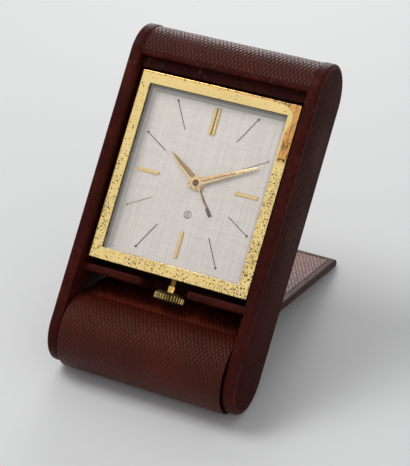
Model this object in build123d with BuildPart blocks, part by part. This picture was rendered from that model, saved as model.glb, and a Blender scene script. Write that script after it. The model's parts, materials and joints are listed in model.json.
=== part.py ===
"""Travelling clock in a folding leather case, standing open on its cover."""

import os
from math import asin, atan2, cos, degrees, hypot, radians, sin

from build123d import *

os.makedirs("parts", exist_ok=True)

# Leather case
cheek_radius = 11.8
cheek_thickness = 3.9
bezel_side_gap = 1.2
lean_angle = 40.5
leather = 0.7
lining = 0.5
shell_board_thickness = 1.6
roll_step = 0.3
rim_rounding = 1.0
lining_rounding = 0.35
crease_rise = 1.2
hem_depth = 1.7
stop_gap = 0.1

# Cover with its drum
drum_radius = 12.8
panel_end_gap = 5.0
panel_thickness = 2.7
cover_side_gap = 0.4
cover_turn_in = 1.3
pin_radius = 1.5
pin_reach = 6.0
bush_wall = 1.0
running_gap = 0.05

# Bezel, glass and clock case
bezel_side = 3.8
bezel_end = 4.0
bezel_lift = 2.0
bezel_recess = 2.8
bezel_thickness = 2.6
bezel_lip = 0.8
bezel_corner = 0.6
bezel_bevel = 0.35
opening_width = 48.2
opening_height = 55.0
glass_seat = 0.9
glass_thickness = 0.9
glass_fit = 0.1
bezel_overhang = 0.6
tube_wall = 0.8
back_cap_thickness = 0.8
lug_width = 3.2
lug_height = 3.4
lug_depth = 4.0

# Dial
dial_depth = 3.4
dial_thickness = 0.6
dial_fit = 0.2
surround_slope = 1.75
baton_height = 0.3
baton_width = 1.25
twin_baton_width = 1.1
twin_baton_gap = 0.25
print_height = 0.06
line_width = 0.3
dot_radius = 0.42
side_mark_margin = 1.05
side_mark_length = 8.0
top_mark_margin = 0.85
top_mark_length = 8.9
near_line_reach = 3.3
near_line_length = 10.0
far_line_reach = 3.1
far_line_length = 8.9
numeral_drop = 10.4
numeral_ring = 0.54
numeral_stroke = 0.2
numeral_circle = 1.3

# Hands
hand_thickness = 0.2
minute_hand_length = 21.2
hour_hand_length = 13.9
alarm_hand_length = 11.9
minute_hand_width = 2.25
minute_tip_width = 0.9
minute_tip_length = 0.7
hour_hand_width = 2.75
hour_tip_width = 1.15
hour_tip_length = 2.4
alarm_hand_width = 0.85
alarm_tip_width = 1.1
alarm_tip_length = 3.0
hand_tail = 2.6
hub_rim = 0.95
hand_step = 0.4
minute_angle = 63.4
hour_angle = -54.9
alarm_angle = 140.9

# Shelf, rest and crown
shelf_bottom = 18.6
shelf_top = 21.3
lip_setback = 3.7
shelf_back = 7.5
notch_width = 16.6
notch_room = 1.3
notch_rounding = 2.0
rest_gap = 0.7
rest_height = 4.0
rest_depth = 6.0
crown_side = 1.0
crown_behind = 3.2
crown_radius = 5.1
crown_height = 3.1
crown_bottom = 16.0
crown_teeth = 32
crown_groove = 0.35
stem_radius = 0.7
stem_tube_radius = 1.1
stem_tube_end = 21.3
pull_travel = 0.7

# Movement plates
ring_depth = 2.8
ring_side_border = 4.0
ring_end_border = 4.6
ring_fit = 0.1
plate_side_gap = 1.5
plate_end_gap = 1.6
main_plate_thickness = 2.0
plate_space = 4.8
back_plate_inset = 2.0
back_plate_thickness = 1.2
back_room = 1.0
pillar_radius = 1.5
pillar_side_inset = 2.5
pillar_end_inset = 3.0
screw_head_radius = 1.7
screw_head_height = 0.6
screw_shank_radius = 0.7
screw_slot_width = 0.35
screw_slot_depth = 0.25
screw_depth = 2.4
ring_screw_rise = 19.0
small_head_radius = 1.1
small_head_height = 0.5
small_shank_radius = 0.5
block_width = 36.0
block_height = 6.0
block_rise = 19.0
block_screw_side = 12.0

# Train
arbor_radius = 0.3
pivot_radius = 0.2
pivot_depth = 0.7
end_shake = 0.1
wheel_thickness = 0.4
pinion_overlap = 0.15
centre_arbor_radius = 0.6
pipe_wall = 0.35
pipe_gap = 0.07
motion_distance = 6.0
barrel_distance = 9.9
third_distance = 7.2
fourth_distance = 6.375
escape_distance = 5.39
pallet_distance = 4.95
balance_distance = 7.4
third_wheel_level = 0.3
escape_wheel_level = 1.5
fourth_wheel_level = 2.7
centre_wheel_level = 4.0
barrel_level = 1.2
barrel_depth = 2.4
barrel_flange = 0.5
barrel_wall = 0.5
barrel_rim_gap = 0.25
barrel_arbor_radius = 1.4
spring_gap = 0.4
ratchet_distance = 11.34
ratchet_thickness = 0.6
ratchet_pocket = 1.2
pocket_gap = 0.35
ridge_radius = 3.2
ridge_length = 1.0
ridge_width = 0.22
ridge_height = 0.5
motion_wheel_thickness = 0.5
motion_gap = 0.3
minute_post_radius = 0.4
alarm_wheel_radius = 6.4
alarm_barrel_radius = 5.6
alarm_barrel_depth = 3.0
alarm_barrel_side = 11.5
alarm_barrel_drop = 17.0
escape_radius = 3.6
escape_root = 2.7
pallet_gap = 0.2
pallet_width = 0.5
pallet_thickness = 0.6
fork_gap = 0.45
roller_radius = 1.4
balance_radius = 6.0
balance_rim = 0.8
balance_thickness = 0.8
balance_level = 2.8
balance_window = 7.2
hairspring_level = 4.9
hairspring_height = 0.3
hairspring_strip = 0.12
hairspring_inner = 0.7
hairspring_outer = 3.6
hairspring_turns = 5
hairspring_steps = 24
cock_thickness = 0.8
cock_width = 3.2
cock_reach = 9.4
click_reach = 10.2
click_nose_reach = 8.1
click_width = 0.8
click_eye = 0.9
hammer_side = 13.0
hammer_rise = 8.5
hammer_length = 11.5
hammer_level = 2.4
hammer_thickness = 1.0
hammer_width = 1.2
hammer_head = 1.4
gong_post_radius = 1.0
gong_gap = 1.5
yoke_width = 4.4
yoke_depth = 1.8
yoke_height = 0.6
groove_radius = 0.5
stem_seat = 2.0
crown_neck = 2.1
crown_neck_radius = 1.65

# Tooth forms, as shares of the module or of the tooth pitch
addendum_share = 0.85
dedendum_share = 1.2
tip_share = 0.17
root_share = 0.42

# The case is built round the bezel, the cover to the case
bezel_width = opening_width + 2 * bezel_side
bezel_height = opening_height + 2 * bezel_end
case_width = bezel_width + 2 * (bezel_side_gap + cheek_thickness)
clock_rise = shelf_top + bezel_lift + bezel_height / 2
rest_bottom = clock_rise + bezel_height / 2 + rest_gap
axis_span = rest_bottom + rest_height
panel_length = axis_span - panel_end_gap

# The leaning case is described by planes through the drum's axis
lean = radians(lean_angle)
inner_half = case_width / 2 - cheek_thickness
half_panel = panel_thickness / 2
panel_centre_radius = drum_radius - half_panel
panel_centre_length = panel_length - half_panel
panel_diagonal = hypot(panel_centre_radius, panel_centre_length)
slope = asin(panel_centre_radius / panel_diagonal) + atan2(panel_centre_radius, panel_centre_length)
stay_reach = panel_centre_length * cos(slope) + panel_centre_radius * sin(slope) + half_panel
depth_centre = (stay_reach - drum_radius) / 2

forward = Vector(0, -cos(lean), sin(lean))
upward = Vector(0, sin(lean), cos(lean))
backward = forward * -1
axis_point = Vector(0, -depth_centre, drum_radius)
panel_inward = Vector(0, -sin(slope), -cos(slope))

FRONT = Plane(origin=axis_point, x_dir=(1, 0, 0), z_dir=forward)
SIDE = Plane(origin=axis_point, x_dir=backward, z_dir=(1, 0, 0))
PLAN = Plane(origin=axis_point, x_dir=(1, 0, 0), z_dir=upward)
COVER = Plane(origin=axis_point, x_dir=panel_inward, z_dir=(1, 0, 0))
CLOCK = Plane(origin=axis_point + upward * clock_rise, x_dir=(1, 0, 0), z_dir=forward)

# Levels of the shell, measured back from the drum's axis
shell_outer = cheek_radius - roll_step
board_outer = shell_outer - leather
board_inner = board_outer - shell_board_thickness
crease = axis_span + crease_rise
hem_bottom = crease - hem_depth
rest_tilt = lean - slope
overrun = cheek_radius

# Levels of the clock, measured forward from the drum's axis
bezel_front = cheek_radius - bezel_recess
bezel_back = bezel_front - bezel_thickness
glass_front = bezel_front - bezel_lip
glass_back = glass_front - glass_thickness
dial_front = bezel_front - dial_depth
dial_back = dial_front - dial_thickness
plate_front = dial_back - ring_depth
plate_back = plate_front - main_plate_thickness
rear_plate_front = plate_back - plate_space
rear_plate_back = rear_plate_front - back_plate_thickness
cap_front = rear_plate_back - back_room
cap_back = cap_front - back_cap_thickness
tube_width = bezel_width - 2 * bezel_overhang
tube_height = bezel_height - 2 * bezel_overhang
well_width = tube_width - 2 * tube_wall
well_height = tube_height - 2 * tube_wall
ring_window_width = well_width - 2 * ring_side_border
ring_window_height = well_height - 2 * ring_end_border
main_plate_width = well_width - 2 * plate_side_gap
main_plate_height = well_height - 2 * plate_end_gap
back_plate_width = main_plate_width - 2 * back_plate_inset
back_plate_height = main_plate_height - 2 * back_plate_inset
pillar_side = back_plate_width / 2 - pillar_side_inset
pillar_rise = back_plate_height / 2 - pillar_end_inset
ring_screw_side = (ring_window_width + main_plate_width) / 4
stem_level = crown_behind


def stop_height(depth, gap):
    """Height at which the open cover's outer face, lifted by a gap, passes a depth behind the axis."""
    return (drum_radius + gap + depth * sin(rest_tilt)) / cos(rest_tilt)


def save(part, name):
    part.label = name
    export_step(part, f"parts/{name}.step")


def polar(distance, angle):
    return (distance * cos(radians(angle)), distance * sin(radians(angle)))


def beside(place, distance, angle):
    step = polar(distance, angle)
    return (place[0] + step[0], place[1] + step[1])


def disc(place, radius, back, front, mode=Mode.ADD):
    """A round block on the clock's plane between two levels."""
    with BuildSketch(CLOCK.offset(back)) as profile:
        with Locations(place):
            Circle(radius)
    extrude(profile.sketch, amount=front - back, mode=mode)


def block(place, width, height, back, front, mode=Mode.ADD, turn=0):
    with BuildSketch(CLOCK.offset(back)) as profile:
        with Locations(place):
            Rectangle(width, height, rotation=turn)
    extrude(profile.sketch, amount=front - back, mode=mode)


def toothed(place, teeth, pitch_radius, back, front, phase, mode=Mode.ADD):
    """A spur wheel with narrow straight-sided teeth, one of them centred on the phase angle."""
    module = 2 * pitch_radius / teeth
    tip = pitch_radius + addendum_share * module
    root = pitch_radius - dedendum_share * module
    pitch = 360 / teeth
    points = []
    for tooth in range(teeth):
        middle = phase + tooth * pitch
        points.append(beside(place, root, middle - root_share * pitch / 2))
        points.append(beside(place, tip, middle - tip_share * pitch / 2))
        points.append(beside(place, tip, middle + tip_share * pitch / 2))
        points.append(beside(place, root, middle + root_share * pitch / 2))
    with BuildSketch(CLOCK.offset(back)) as profile:
        with BuildLine():
            Polyline(*points, close=True)
        make_face()
    extrude(profile.sketch, amount=front - back, mode=mode)


def spoke_windows(place, count, inner, outer, back, front, width, turn=0):
    """Cuts a wheel's web into straight spokes."""
    with BuildSketch(CLOCK.offset(back)) as profile:
        with Locations(place):
            Circle(outer)
            Circle(inner, mode=Mode.SUBTRACT)
            with PolarLocations(0, count, start_angle=turn):
                Rectangle(2 * outer, width, align=(Align.MIN, Align.CENTER), mode=Mode.SUBTRACT)
    extrude(profile.sketch, amount=front - back, mode=Mode.SUBTRACT)


def screw(place, head_radius, head_height, shank_radius, seat, length, turn=0):
    """A slotted screw driven forward from behind, its head on a seat that faces back."""
    disc(place, head_radius, seat - head_height, seat)
    disc(place, shank_radius, seat, seat + length)
    block(place, 2 * head_radius, screw_slot_width, seat - head_height, seat - head_height + screw_slot_depth,
          mode=Mode.SUBTRACT, turn=turn)


# Cheeks: a board in a leather tray, with a lining over the inner face
cheek_sides = {"left": -1, "right": 1}
boards = []
linings = []
pins = []
for side, sign in cheek_sides.items():
    face = sign * inner_half
    lining_face = sign * (inner_half + lining)
    with BuildPart() as cheek_board:
        with BuildSketch(SIDE.offset(lining_face)):
            with Locations((0, axis_span / 2)):
                SlotCenterToCenter(axis_span, 2 * (cheek_radius - leather), rotation=90)
            Circle(pin_radius, mode=Mode.SUBTRACT)
        extrude(amount=sign * (cheek_thickness - lining - leather))
    boards.append(cheek_board.part)

    with BuildPart() as cheek_leather:
        with BuildSketch(SIDE.offset(lining_face)):
            with Locations((0, axis_span / 2)):
                SlotCenterToCenter(axis_span, 2 * cheek_radius, rotation=90)
        extrude(amount=sign * (cheek_thickness - lining))
        rim = cheek_leather.faces().sort_by(Axis.X)[-1 if sign > 0 else 0].edges()
        fillet(rim, radius=rim_rounding)
        with BuildSketch(SIDE.offset(lining_face)):
            with Locations((0, axis_span / 2)):
                SlotCenterToCenter(axis_span, 2 * (cheek_radius - leather), rotation=90)
        extrude(amount=sign * (cheek_thickness - lining - leather), mode=Mode.SUBTRACT)
    save(cheek_leather.part, f"{side}_cheek_leather")

    with BuildPart() as cheek_lining:
        with BuildSketch(SIDE.offset(face)):
            with Locations((0, axis_span / 2)):
                SlotCenterToCenter(axis_span, 2 * cheek_radius, rotation=90)
        extrude(amount=sign * lining)
        rim = cheek_lining.faces().sort_by(Axis.X)[0 if sign > 0 else -1].edges()
        fillet(rim, radius=lining_rounding)
        with BuildSketch(SIDE.offset(face)):
            Circle(pin_radius)
        extrude(amount=sign * lining, mode=Mode.SUBTRACT)
    linings.append(cheek_lining.part)

    with BuildPart() as pin:
        with BuildSketch(SIDE.offset(sign * (inner_half - cover_side_gap - pin_reach))):
            Circle(pin_radius)
        extrude(amount=sign * (cover_side_gap + pin_reach + cheek_thickness - leather))
    pins.append(pin.part)

save(Compound(children=boards), "cheek_boards")
save(Compound(children=linings), "cheek_linings")
save(Compound(children=pins), "pivot_pins")

# Back wall and rolled top, bent from one board and covered outside
with BuildPart() as shell_board:
    with BuildSketch(SIDE):
        with Locations((0, axis_span / 2)):
            SlotCenterToCenter(axis_span, 2 * board_outer, rotation=90)
            SlotCenterToCenter(axis_span, 2 * board_inner, rotation=90, mode=Mode.SUBTRACT)
        with Locations((0, hem_bottom + leather)):
            Rectangle(2 * overrun, 2 * axis_span, align=(Align.MAX, Align.MAX), mode=Mode.SUBTRACT)
        with BuildLine():
            Polyline(
                (0, -2 * overrun),
                (0, stop_height(0, stop_gap + leather)),
                (2 * overrun, stop_height(2 * overrun, stop_gap + leather)),
                (2 * overrun, -2 * overrun),
                close=True,
            )
        make_face(mode=Mode.SUBTRACT)
    extrude(amount=inner_half, both=True)
save(shell_board.part, "shell_board")

with BuildPart() as shell_leather:
    with BuildSketch(SIDE):
        with Locations((0, axis_span / 2)):
            SlotCenterToCenter(axis_span, 2 * shell_outer, rotation=90)
            SlotCenterToCenter(axis_span, 2 * board_inner, rotation=90, mode=Mode.SUBTRACT)
        with Locations((0, crease)):
            Rectangle(2 * overrun, 2 * axis_span, align=(Align.MAX, Align.MAX), mode=Mode.SUBTRACT)
        with BuildLine():
            Polyline(
                (0, -2 * overrun),
                (0, stop_height(0, stop_gap)),
                (2 * overrun, stop_height(2 * overrun, stop_gap)),
                (2 * overrun, -2 * overrun),
                close=True,
            )
        make_face(mode=Mode.SUBTRACT)
    extrude(amount=inner_half, both=True)
    add(shell_board.part, mode=Mode.SUBTRACT)
save(shell_leather.part, "shell_leather")

with BuildPart() as front_hem:
    with BuildSketch(SIDE):
        with Locations((0, axis_span / 2)):
            SlotCenterToCenter(axis_span, 2 * shell_outer, rotation=90)
            SlotCenterToCenter(axis_span, 2 * board_inner, rotation=90, mode=Mode.SUBTRACT)
        with Locations((0, hem_bottom)):
            Rectangle(2 * overrun, hem_depth, align=(Align.MAX, Align.MIN), mode=Mode.INTERSECT)
    extrude(amount=inner_half, both=True)
    add(shell_board.part, mode=Mode.SUBTRACT)
save(front_hem.part, "front_hem")

with BuildPart() as upper_rest:
    with BuildSketch(FRONT.offset(board_inner - rest_depth)):
        with Locations((0, rest_bottom)):
            Rectangle(2 * inner_half, axis_span - rest_bottom, align=(Align.CENTER, Align.MIN))
    extrude(amount=rest_depth)
save(upper_rest.part, "upper_rest")

block_places = [(0, -block_rise), (0, block_rise)]
block_screw_places = [(sx * block_screw_side, sy * block_rise) for sx in (-1, 1) for sy in (-1, 1)]

with BuildPart() as back_lining:
    with BuildSketch(FRONT.offset(-board_inner)):
        with Locations((0, shelf_top)):
            Rectangle(2 * inner_half, axis_span - shelf_top, align=(Align.CENTER, Align.MIN))
    extrude(amount=lining)
    for place in block_screw_places:
        disc(place, screw_shank_radius, -board_inner, lining - board_inner, mode=Mode.SUBTRACT)
save(back_lining.part, "back_lining")

# Lower shelf with the notch round the crown: a board with leather over its front, top and underside
lip_front = cheek_radius - lip_setback
notch_back = crown_radius + notch_room - crown_behind


def shelf_plan(front):
    """Half-open plan of the shelf, back from the given front, with its notch."""
    with Locations((0, -front)):
        Rectangle(2 * inner_half, front + shelf_back, align=(Align.CENTER, Align.MIN))
        Rectangle(notch_width, front + notch_back, align=(Align.CENTER, Align.MIN), mode=Mode.SUBTRACT)


with BuildPart() as shelf_board:
    with BuildSketch(PLAN.offset(shelf_bottom + leather)):
        shelf_plan(lip_front - leather)
    extrude(amount=shelf_top - shelf_bottom - 2 * leather)
save(shelf_board.part, "shelf_board")

with BuildPart() as shelf_leather:
    with BuildSketch(PLAN.offset(shelf_bottom)):
        shelf_plan(lip_front)
    extrude(amount=shelf_top - shelf_bottom)
    edges = shelf_leather.edges()
    lip_corners = edges.filter_by(lambda edge: abs(edge.tangent_at(0).dot(upward)) > cos(slope))
    front_corners = lip_corners.sort_by(lambda edge: edge.center().dot(forward))[-4:]
    inner_corners = front_corners.sort_by(lambda edge: abs(edge.center().X))[:2]
    fillet(inner_corners, radius=notch_rounding)
    lip_edges = shelf_leather.faces().filter_by(Plane(FRONT.origin, z_dir=forward)).sort_by(
        lambda face: face.center().dot(forward))[-2:].edges()
    long_edges = lip_edges.filter_by(Axis.X)
    fillet(long_edges, radius=leather)
    add(shelf_board.part, mode=Mode.SUBTRACT)
save(shelf_leather.part, "shelf_leather")

# Cover: drum and panel, drawn in the plane of the open stay
cover_half = inner_half - cover_side_gap
core_radius = drum_radius - leather
bush_radius = pin_radius + running_gap + bush_wall
panel_front = -drum_radius
panel_back = panel_thickness - drum_radius
core_length = cover_half - leather

with BuildPart() as cover_board:
    with BuildSketch(COVER):
        with Locations((panel_front + leather, 0)):
            Rectangle(panel_thickness - leather - lining, panel_length - cover_turn_in,
                      align=(Align.MIN, Align.MIN))
        Circle(drum_radius, mode=Mode.SUBTRACT)
    extrude(amount=cover_half - leather, both=True)
save(cover_board.part, "cover_board")

with BuildPart() as cover_lining:
    with BuildSketch(COVER):
        with Locations((panel_back - lining, 0)):
            Rectangle(lining, panel_length - 2 * cover_turn_in, align=(Align.MIN, Align.MIN))
        Circle(drum_radius, mode=Mode.SUBTRACT)
    extrude(amount=cover_half - cover_turn_in, both=True)
save(cover_lining.part, "cover_lining")

with BuildPart() as cover_leather:
    with BuildSketch(COVER):
        with Locations((panel_front, 0)):
            Rectangle(panel_thickness, panel_length, align=(Align.MIN, Align.MIN))
        Circle(drum_radius)
    extrude(amount=cover_half, both=True)
    far_face = cover_leather.faces().sort_by(lambda face: face.center().dot(COVER.y_dir))[-1]
    fillet(far_face.edges().filter_by(Axis.X), radius=half_panel - leather / 2)
    with BuildSketch(COVER):
        Circle(core_radius)
    extrude(amount=cover_half, both=True, mode=Mode.SUBTRACT)
    add(cover_board.part, mode=Mode.SUBTRACT)
    add(cover_lining.part, mode=Mode.SUBTRACT)
save(cover_leather.part, "cover_leather")

bushes = []
caps = []
with BuildPart() as drum_core:
    with BuildSketch(SIDE):
        Circle(core_radius)
    extrude(amount=core_length, both=True)
    for sign in cheek_sides.values():
        with BuildSketch(SIDE.offset(sign * core_length)):
            Circle(bush_radius)
        extrude(amount=-sign * (pin_reach + stop_gap - leather), mode=Mode.SUBTRACT)
save(drum_core.part, "drum_core")
for sign in cheek_sides.values():
    with BuildPart() as bush:
        with BuildSketch(SIDE.offset(sign * cover_half)):
            Circle(bush_radius)
            Circle(pin_radius + running_gap, mode=Mode.SUBTRACT)
        extrude(amount=-sign * (pin_reach + stop_gap))
    bushes.append(bush.part)
    with BuildPart() as end_disc:
        with BuildSketch(SIDE.offset(sign * cover_half)):
            Circle(core_radius)
            Circle(bush_radius, mode=Mode.SUBTRACT)
        extrude(amount=-sign * leather)
    caps.append(end_disc.part)
save(Compound(children=bushes), "pivot_bushes")
save(Compound(children=caps), "drum_end_discs")

# Clock case: a rectangular tube with corner lugs, closed behind by a cap
lug_side = (well_width - lug_width) / 2
lug_rise = (well_height - lug_height) / 2
lug_places = [(sx * lug_side, sy * lug_rise) for sx in (-1, 1) for sy in (-1, 1)]
pillar_places = [(sx * pillar_side, sy * pillar_rise) for sx in (-1, 1) for sy in (-1, 1)]
ring_screw_places = [(sx * ring_screw_side, sy * ring_screw_rise) for sx in (-1, 1) for sy in (-1, 1)]


def stem_round(radius, low, high, mode=Mode.ADD):
    """A round block along the stem, between two heights above the drum's axis."""
    with BuildSketch(PLAN.offset(low)) as profile:
        with Locations((crown_side, -stem_level)):
            Circle(radius)
    extrude(profile.sketch, amount=high - low, mode=mode)


tube_bottom = clock_rise - tube_height / 2
well_bottom = clock_rise - well_height / 2

with BuildPart() as clock_case:
    block((0, 0), tube_width, tube_height, cap_front, bezel_back)
    block((0, 0), well_width, well_height, cap_front, bezel_back, mode=Mode.SUBTRACT)
    for place in lug_places:
        block(place, lug_width, lug_height, cap_front, cap_front + lug_depth)
        disc(place, small_shank_radius, cap_front, cap_front + lug_depth, mode=Mode.SUBTRACT)
    stem_round(stem_tube_radius, tube_bottom, well_bottom, mode=Mode.SUBTRACT)
save(clock_case.part, "clock_case")

with BuildPart() as case_back:
    block((0, 0), tube_width, tube_height, cap_back, cap_front)
    for place in lug_places:
        disc(place, small_shank_radius, cap_back, cap_front, mode=Mode.SUBTRACT)
    for place in block_screw_places:
        disc(place, screw_shank_radius, cap_back, cap_front, mode=Mode.SUBTRACT)
save(case_back.part, "case_back")

block_back = lining - board_inner
with BuildPart() as mounting_blocks:
    for place in block_places:
        block(place, block_width, block_height, block_back, cap_back)
    for place in block_screw_places:
        disc(place, screw_shank_radius, block_back, cap_back, mode=Mode.SUBTRACT)
save(mounting_blocks.part, "mounting_blocks")

with BuildPart() as mounting_screws:
    for place in block_screw_places:
        disc(place, screw_head_radius, cap_front, cap_front + small_head_height)
        disc(place, screw_shank_radius, -board_inner, cap_front)
        slot_floor = cap_front + small_head_height - screw_slot_depth
        block(place, 2 * screw_head_radius, screw_slot_width, slot_floor, slot_floor + screw_slot_depth,
              mode=Mode.SUBTRACT, turn=place[1])
save(mounting_screws.part, "mounting_screws")

# Bezel, crystal and the sloped surround between glass and dial
glass_width = opening_width + 2 * glass_seat
glass_height = opening_height + 2 * glass_seat
with BuildPart() as bezel:
    with BuildSketch(CLOCK.offset(bezel_back)):
        RectangleRounded(bezel_width, bezel_height, bezel_corner)
    extrude(amount=bezel_thickness)
    block((0, 0), opening_width, opening_height, bezel_back, bezel_front, mode=Mode.SUBTRACT)
    front_face = bezel.faces().filter_by(CLOCK).sort_by(lambda face: face.center().dot(forward))[-1]
    chamfer(front_face.edges(), length=bezel_bevel)
    block((0, 0), glass_width + 2 * glass_fit, glass_height + 2 * glass_fit, bezel_back, glass_front,
          mode=Mode.SUBTRACT)
save(bezel.part, "bezel")

with BuildPart() as crystal:
    block((0, 0), glass_width, glass_height, glass_back, glass_front)
save(crystal.part, "crystal")

with BuildPart() as dial_surround:
    block((0, 0), glass_width, glass_height, dial_front, glass_back)
    with BuildSketch(CLOCK.offset(dial_front)):
        Rectangle(opening_width - 2 * surround_slope, opening_height - 2 * surround_slope)
    with BuildSketch(CLOCK.offset(glass_back)):
        Rectangle(opening_width, opening_height)
    loft(mode=Mode.SUBTRACT)
save(dial_surround.part, "dial_surround")

cannon_bore = centre_arbor_radius + running_gap
cannon_radius = cannon_bore + pipe_wall
hour_pipe_bore = cannon_radius + pipe_gap
hour_pipe_radius = hour_pipe_bore + pipe_wall
alarm_pipe_bore = hour_pipe_radius + pipe_gap
alarm_pipe_radius = alarm_pipe_bore + pipe_wall

with BuildPart() as dial:
    block((0, 0), well_width - 2 * dial_fit, well_height - 2 * dial_fit, dial_back, dial_front)
    disc((0, 0), alarm_pipe_radius + pipe_gap, dial_back, dial_front, mode=Mode.SUBTRACT)
save(dial.part, "dial")

top_mark_outer = opening_height / 2 - surround_slope - top_mark_margin
side_mark_outer = opening_width / 2 - surround_slope - side_mark_margin
with BuildPart() as hour_batons:
    top_middle = top_mark_outer - top_mark_length / 2
    side_middle = side_mark_outer - side_mark_length / 2
    twin_offset = (twin_baton_width + twin_baton_gap) / 2
    for sign in (-1, 1):
        block((sign * twin_offset, top_middle), twin_baton_width, top_mark_length, dial_front,
              dial_front + baton_height)
        block((sign * side_middle, 0), side_mark_length, baton_width, dial_front, dial_front + baton_height)
    block((0, -top_middle), baton_width, top_mark_length, dial_front, dial_front + baton_height)
save(hour_batons.part, "hour_batons")

with BuildPart() as dial_print:
    for hour in (1, 2, 4, 5, 7, 8, 10, 11):
        angle = 90 - 30 * hour
        near = hour in (1, 5, 7, 11)
        length = near_line_length if near else far_line_length
        outer = top_mark_outer + near_line_reach if near else side_mark_outer + far_line_reach
        block(polar(outer - length / 2, angle), length, line_width, dial_front,
              dial_front + print_height, turn=angle)
        disc(polar(outer, angle), dot_radius, dial_front, dial_front + print_height)
    disc((0, -numeral_drop), numeral_circle, dial_front, dial_front + print_height)
    disc((0, -numeral_drop), numeral_circle - numeral_stroke, dial_front, dial_front + print_height,
         mode=Mode.SUBTRACT)
    for sign in (-1, 1):
        ring_rise = sign * (numeral_ring - numeral_stroke / 2) - numeral_drop
        disc((0, ring_rise), numeral_ring, dial_front, dial_front + print_height)
    for sign in (-1, 1):
        ring_rise = sign * (numeral_ring - numeral_stroke / 2) - numeral_drop
        disc((0, ring_rise), numeral_ring - numeral_stroke, dial_front, dial_front + print_height,
             mode=Mode.SUBTRACT)
save(dial_print.part, "dial_print")

# Movement ring, plates and what holds them
minute_place = polar(motion_distance, 60)
barrel_place = polar(barrel_distance, -130)
third_place = polar(third_distance, 100)
fourth_place = beside(third_place, fourth_distance, 20)
escape_place = beside(fourth_place, escape_distance, -20)
pallet_place = beside(escape_place, pallet_distance, -60)
balance_place = beside(pallet_place, balance_distance, -72)
alarm_barrel_place = (alarm_barrel_side, -alarm_barrel_drop)
hammer_place = (-hammer_side, hammer_rise)
crown_wheel_place = (
    crown_side,
    barrel_place[1] - (ratchet_distance**2 - (crown_side - barrel_place[0]) ** 2) ** 0.5,
)
cock_place = beside(balance_place, cock_reach, -100)
click_place = beside(barrel_place, click_reach, 170)
click_nose = beside(barrel_place, click_nose_reach, 205)


def heading(start, end):
    """Angle of the line from one place to another, in degrees."""
    return degrees(atan2(end[1] - start[1], end[0] - start[0]))


def span(start, end):
    return hypot(end[0] - start[0], end[1] - start[1])


def bar(start, end, width, back, front, mode=Mode.ADD):
    """A straight bar with round ends between two places."""
    middle = ((start[0] + end[0]) / 2, (start[1] + end[1]) / 2)
    with BuildSketch(CLOCK.offset(back)) as profile:
        with Locations(middle):
            SlotCenterToCenter(span(start, end), width, rotation=heading(start, end))
    extrude(profile.sketch, amount=front - back, mode=mode)


def gap_phase(start, end, teeth):
    """Phase that puts a gap of the second wheel on the line of centres."""
    return heading(end, start) + 180 / teeth


# Teeth of the train, and the pitch radii that the centre distances give
barrel_teeth, centre_leaves = 90, 10
centre_teeth, third_leaves = 72, 9
third_teeth, fourth_leaves = 75, 10
fourth_teeth, escape_leaves = 70, 7
escape_teeth = 15
cannon_teeth, minute_teeth = 12, 36
minute_leaves, hour_teeth = 10, 40
crown_wheel_teeth, ratchet_teeth = 24, 40
stem_leaves = 8
alarm_teeth = 48


def pitch_radii(distance, first, second):
    return distance * first / (first + second), distance * second / (first + second)


barrel_pitch, centre_pinion_pitch = pitch_radii(barrel_distance, barrel_teeth, centre_leaves)
centre_pitch, third_pinion_pitch = pitch_radii(third_distance, centre_teeth, third_leaves)
third_pitch, fourth_pinion_pitch = pitch_radii(fourth_distance, third_teeth, fourth_leaves)
fourth_pitch, escape_pinion_pitch = pitch_radii(escape_distance, fourth_teeth, escape_leaves)
cannon_pitch, minute_pitch = pitch_radii(motion_distance, cannon_teeth, minute_teeth)
minute_pinion_pitch, hour_pitch = pitch_radii(motion_distance, minute_leaves, hour_teeth)
crown_wheel_pitch, ratchet_pitch = pitch_radii(ratchet_distance, crown_wheel_teeth, ratchet_teeth)
stem_pinion_pitch = ridge_radius * stem_leaves / crown_wheel_teeth

# Levels in the train space, measured back from the main plate
third_level = plate_back - third_wheel_level - wheel_thickness
escape_level = plate_back - escape_wheel_level - wheel_thickness
fourth_level = plate_back - fourth_wheel_level - wheel_thickness
centre_level = plate_back - centre_wheel_level - wheel_thickness
barrel_front = plate_back - barrel_level
barrel_back = barrel_front - barrel_depth
balance_back = plate_back - balance_level - balance_thickness
pallet_back = escape_level + wheel_thickness / 2 - pallet_thickness / 2
ratchet_back = plate_front - ratchet_pocket + end_shake
ratchet_front = ratchet_back + ratchet_thickness
train_front = plate_back - end_shake
train_back = rear_plate_front + end_shake
cannon_back = plate_front + end_shake
motion_level = cannon_back + motion_gap / 2
hour_level = motion_level + motion_wheel_thickness + motion_gap
alarm_level = hour_level + motion_wheel_thickness + motion_gap

# Hands sit on the tops of three nested pipes
alarm_hand_back = dial_front + hand_thickness
hour_hand_back = alarm_hand_back + hand_step
minute_hand_back = hour_hand_back + hand_step
alarm_pipe_top = alarm_hand_back + hand_thickness
hour_pipe_top = hour_hand_back + hand_thickness
cannon_top = minute_hand_back + hand_thickness
centre_top = cannon_top + end_shake
ring_window_bottom = clock_rise - ring_window_height / 2
yoke_bottom = ring_window_bottom + pull_travel + end_shake
stem_top = clock_rise + crown_wheel_place[1] - ridge_radius + ridge_length / 2

with BuildPart() as movement_ring:
    block((0, 0), well_width - 2 * ring_fit, well_height - 2 * ring_fit, plate_front, dial_back)
    block((0, 0), ring_window_width, ring_window_height, plate_front, dial_back, mode=Mode.SUBTRACT)
    stem_round(stem_radius + running_gap, well_bottom, ring_window_bottom, mode=Mode.SUBTRACT)
    for place in ring_screw_places:
        disc(place, small_shank_radius, plate_front, plate_front + ring_depth / 2, mode=Mode.SUBTRACT)
save(movement_ring.part, "movement_ring")

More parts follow.
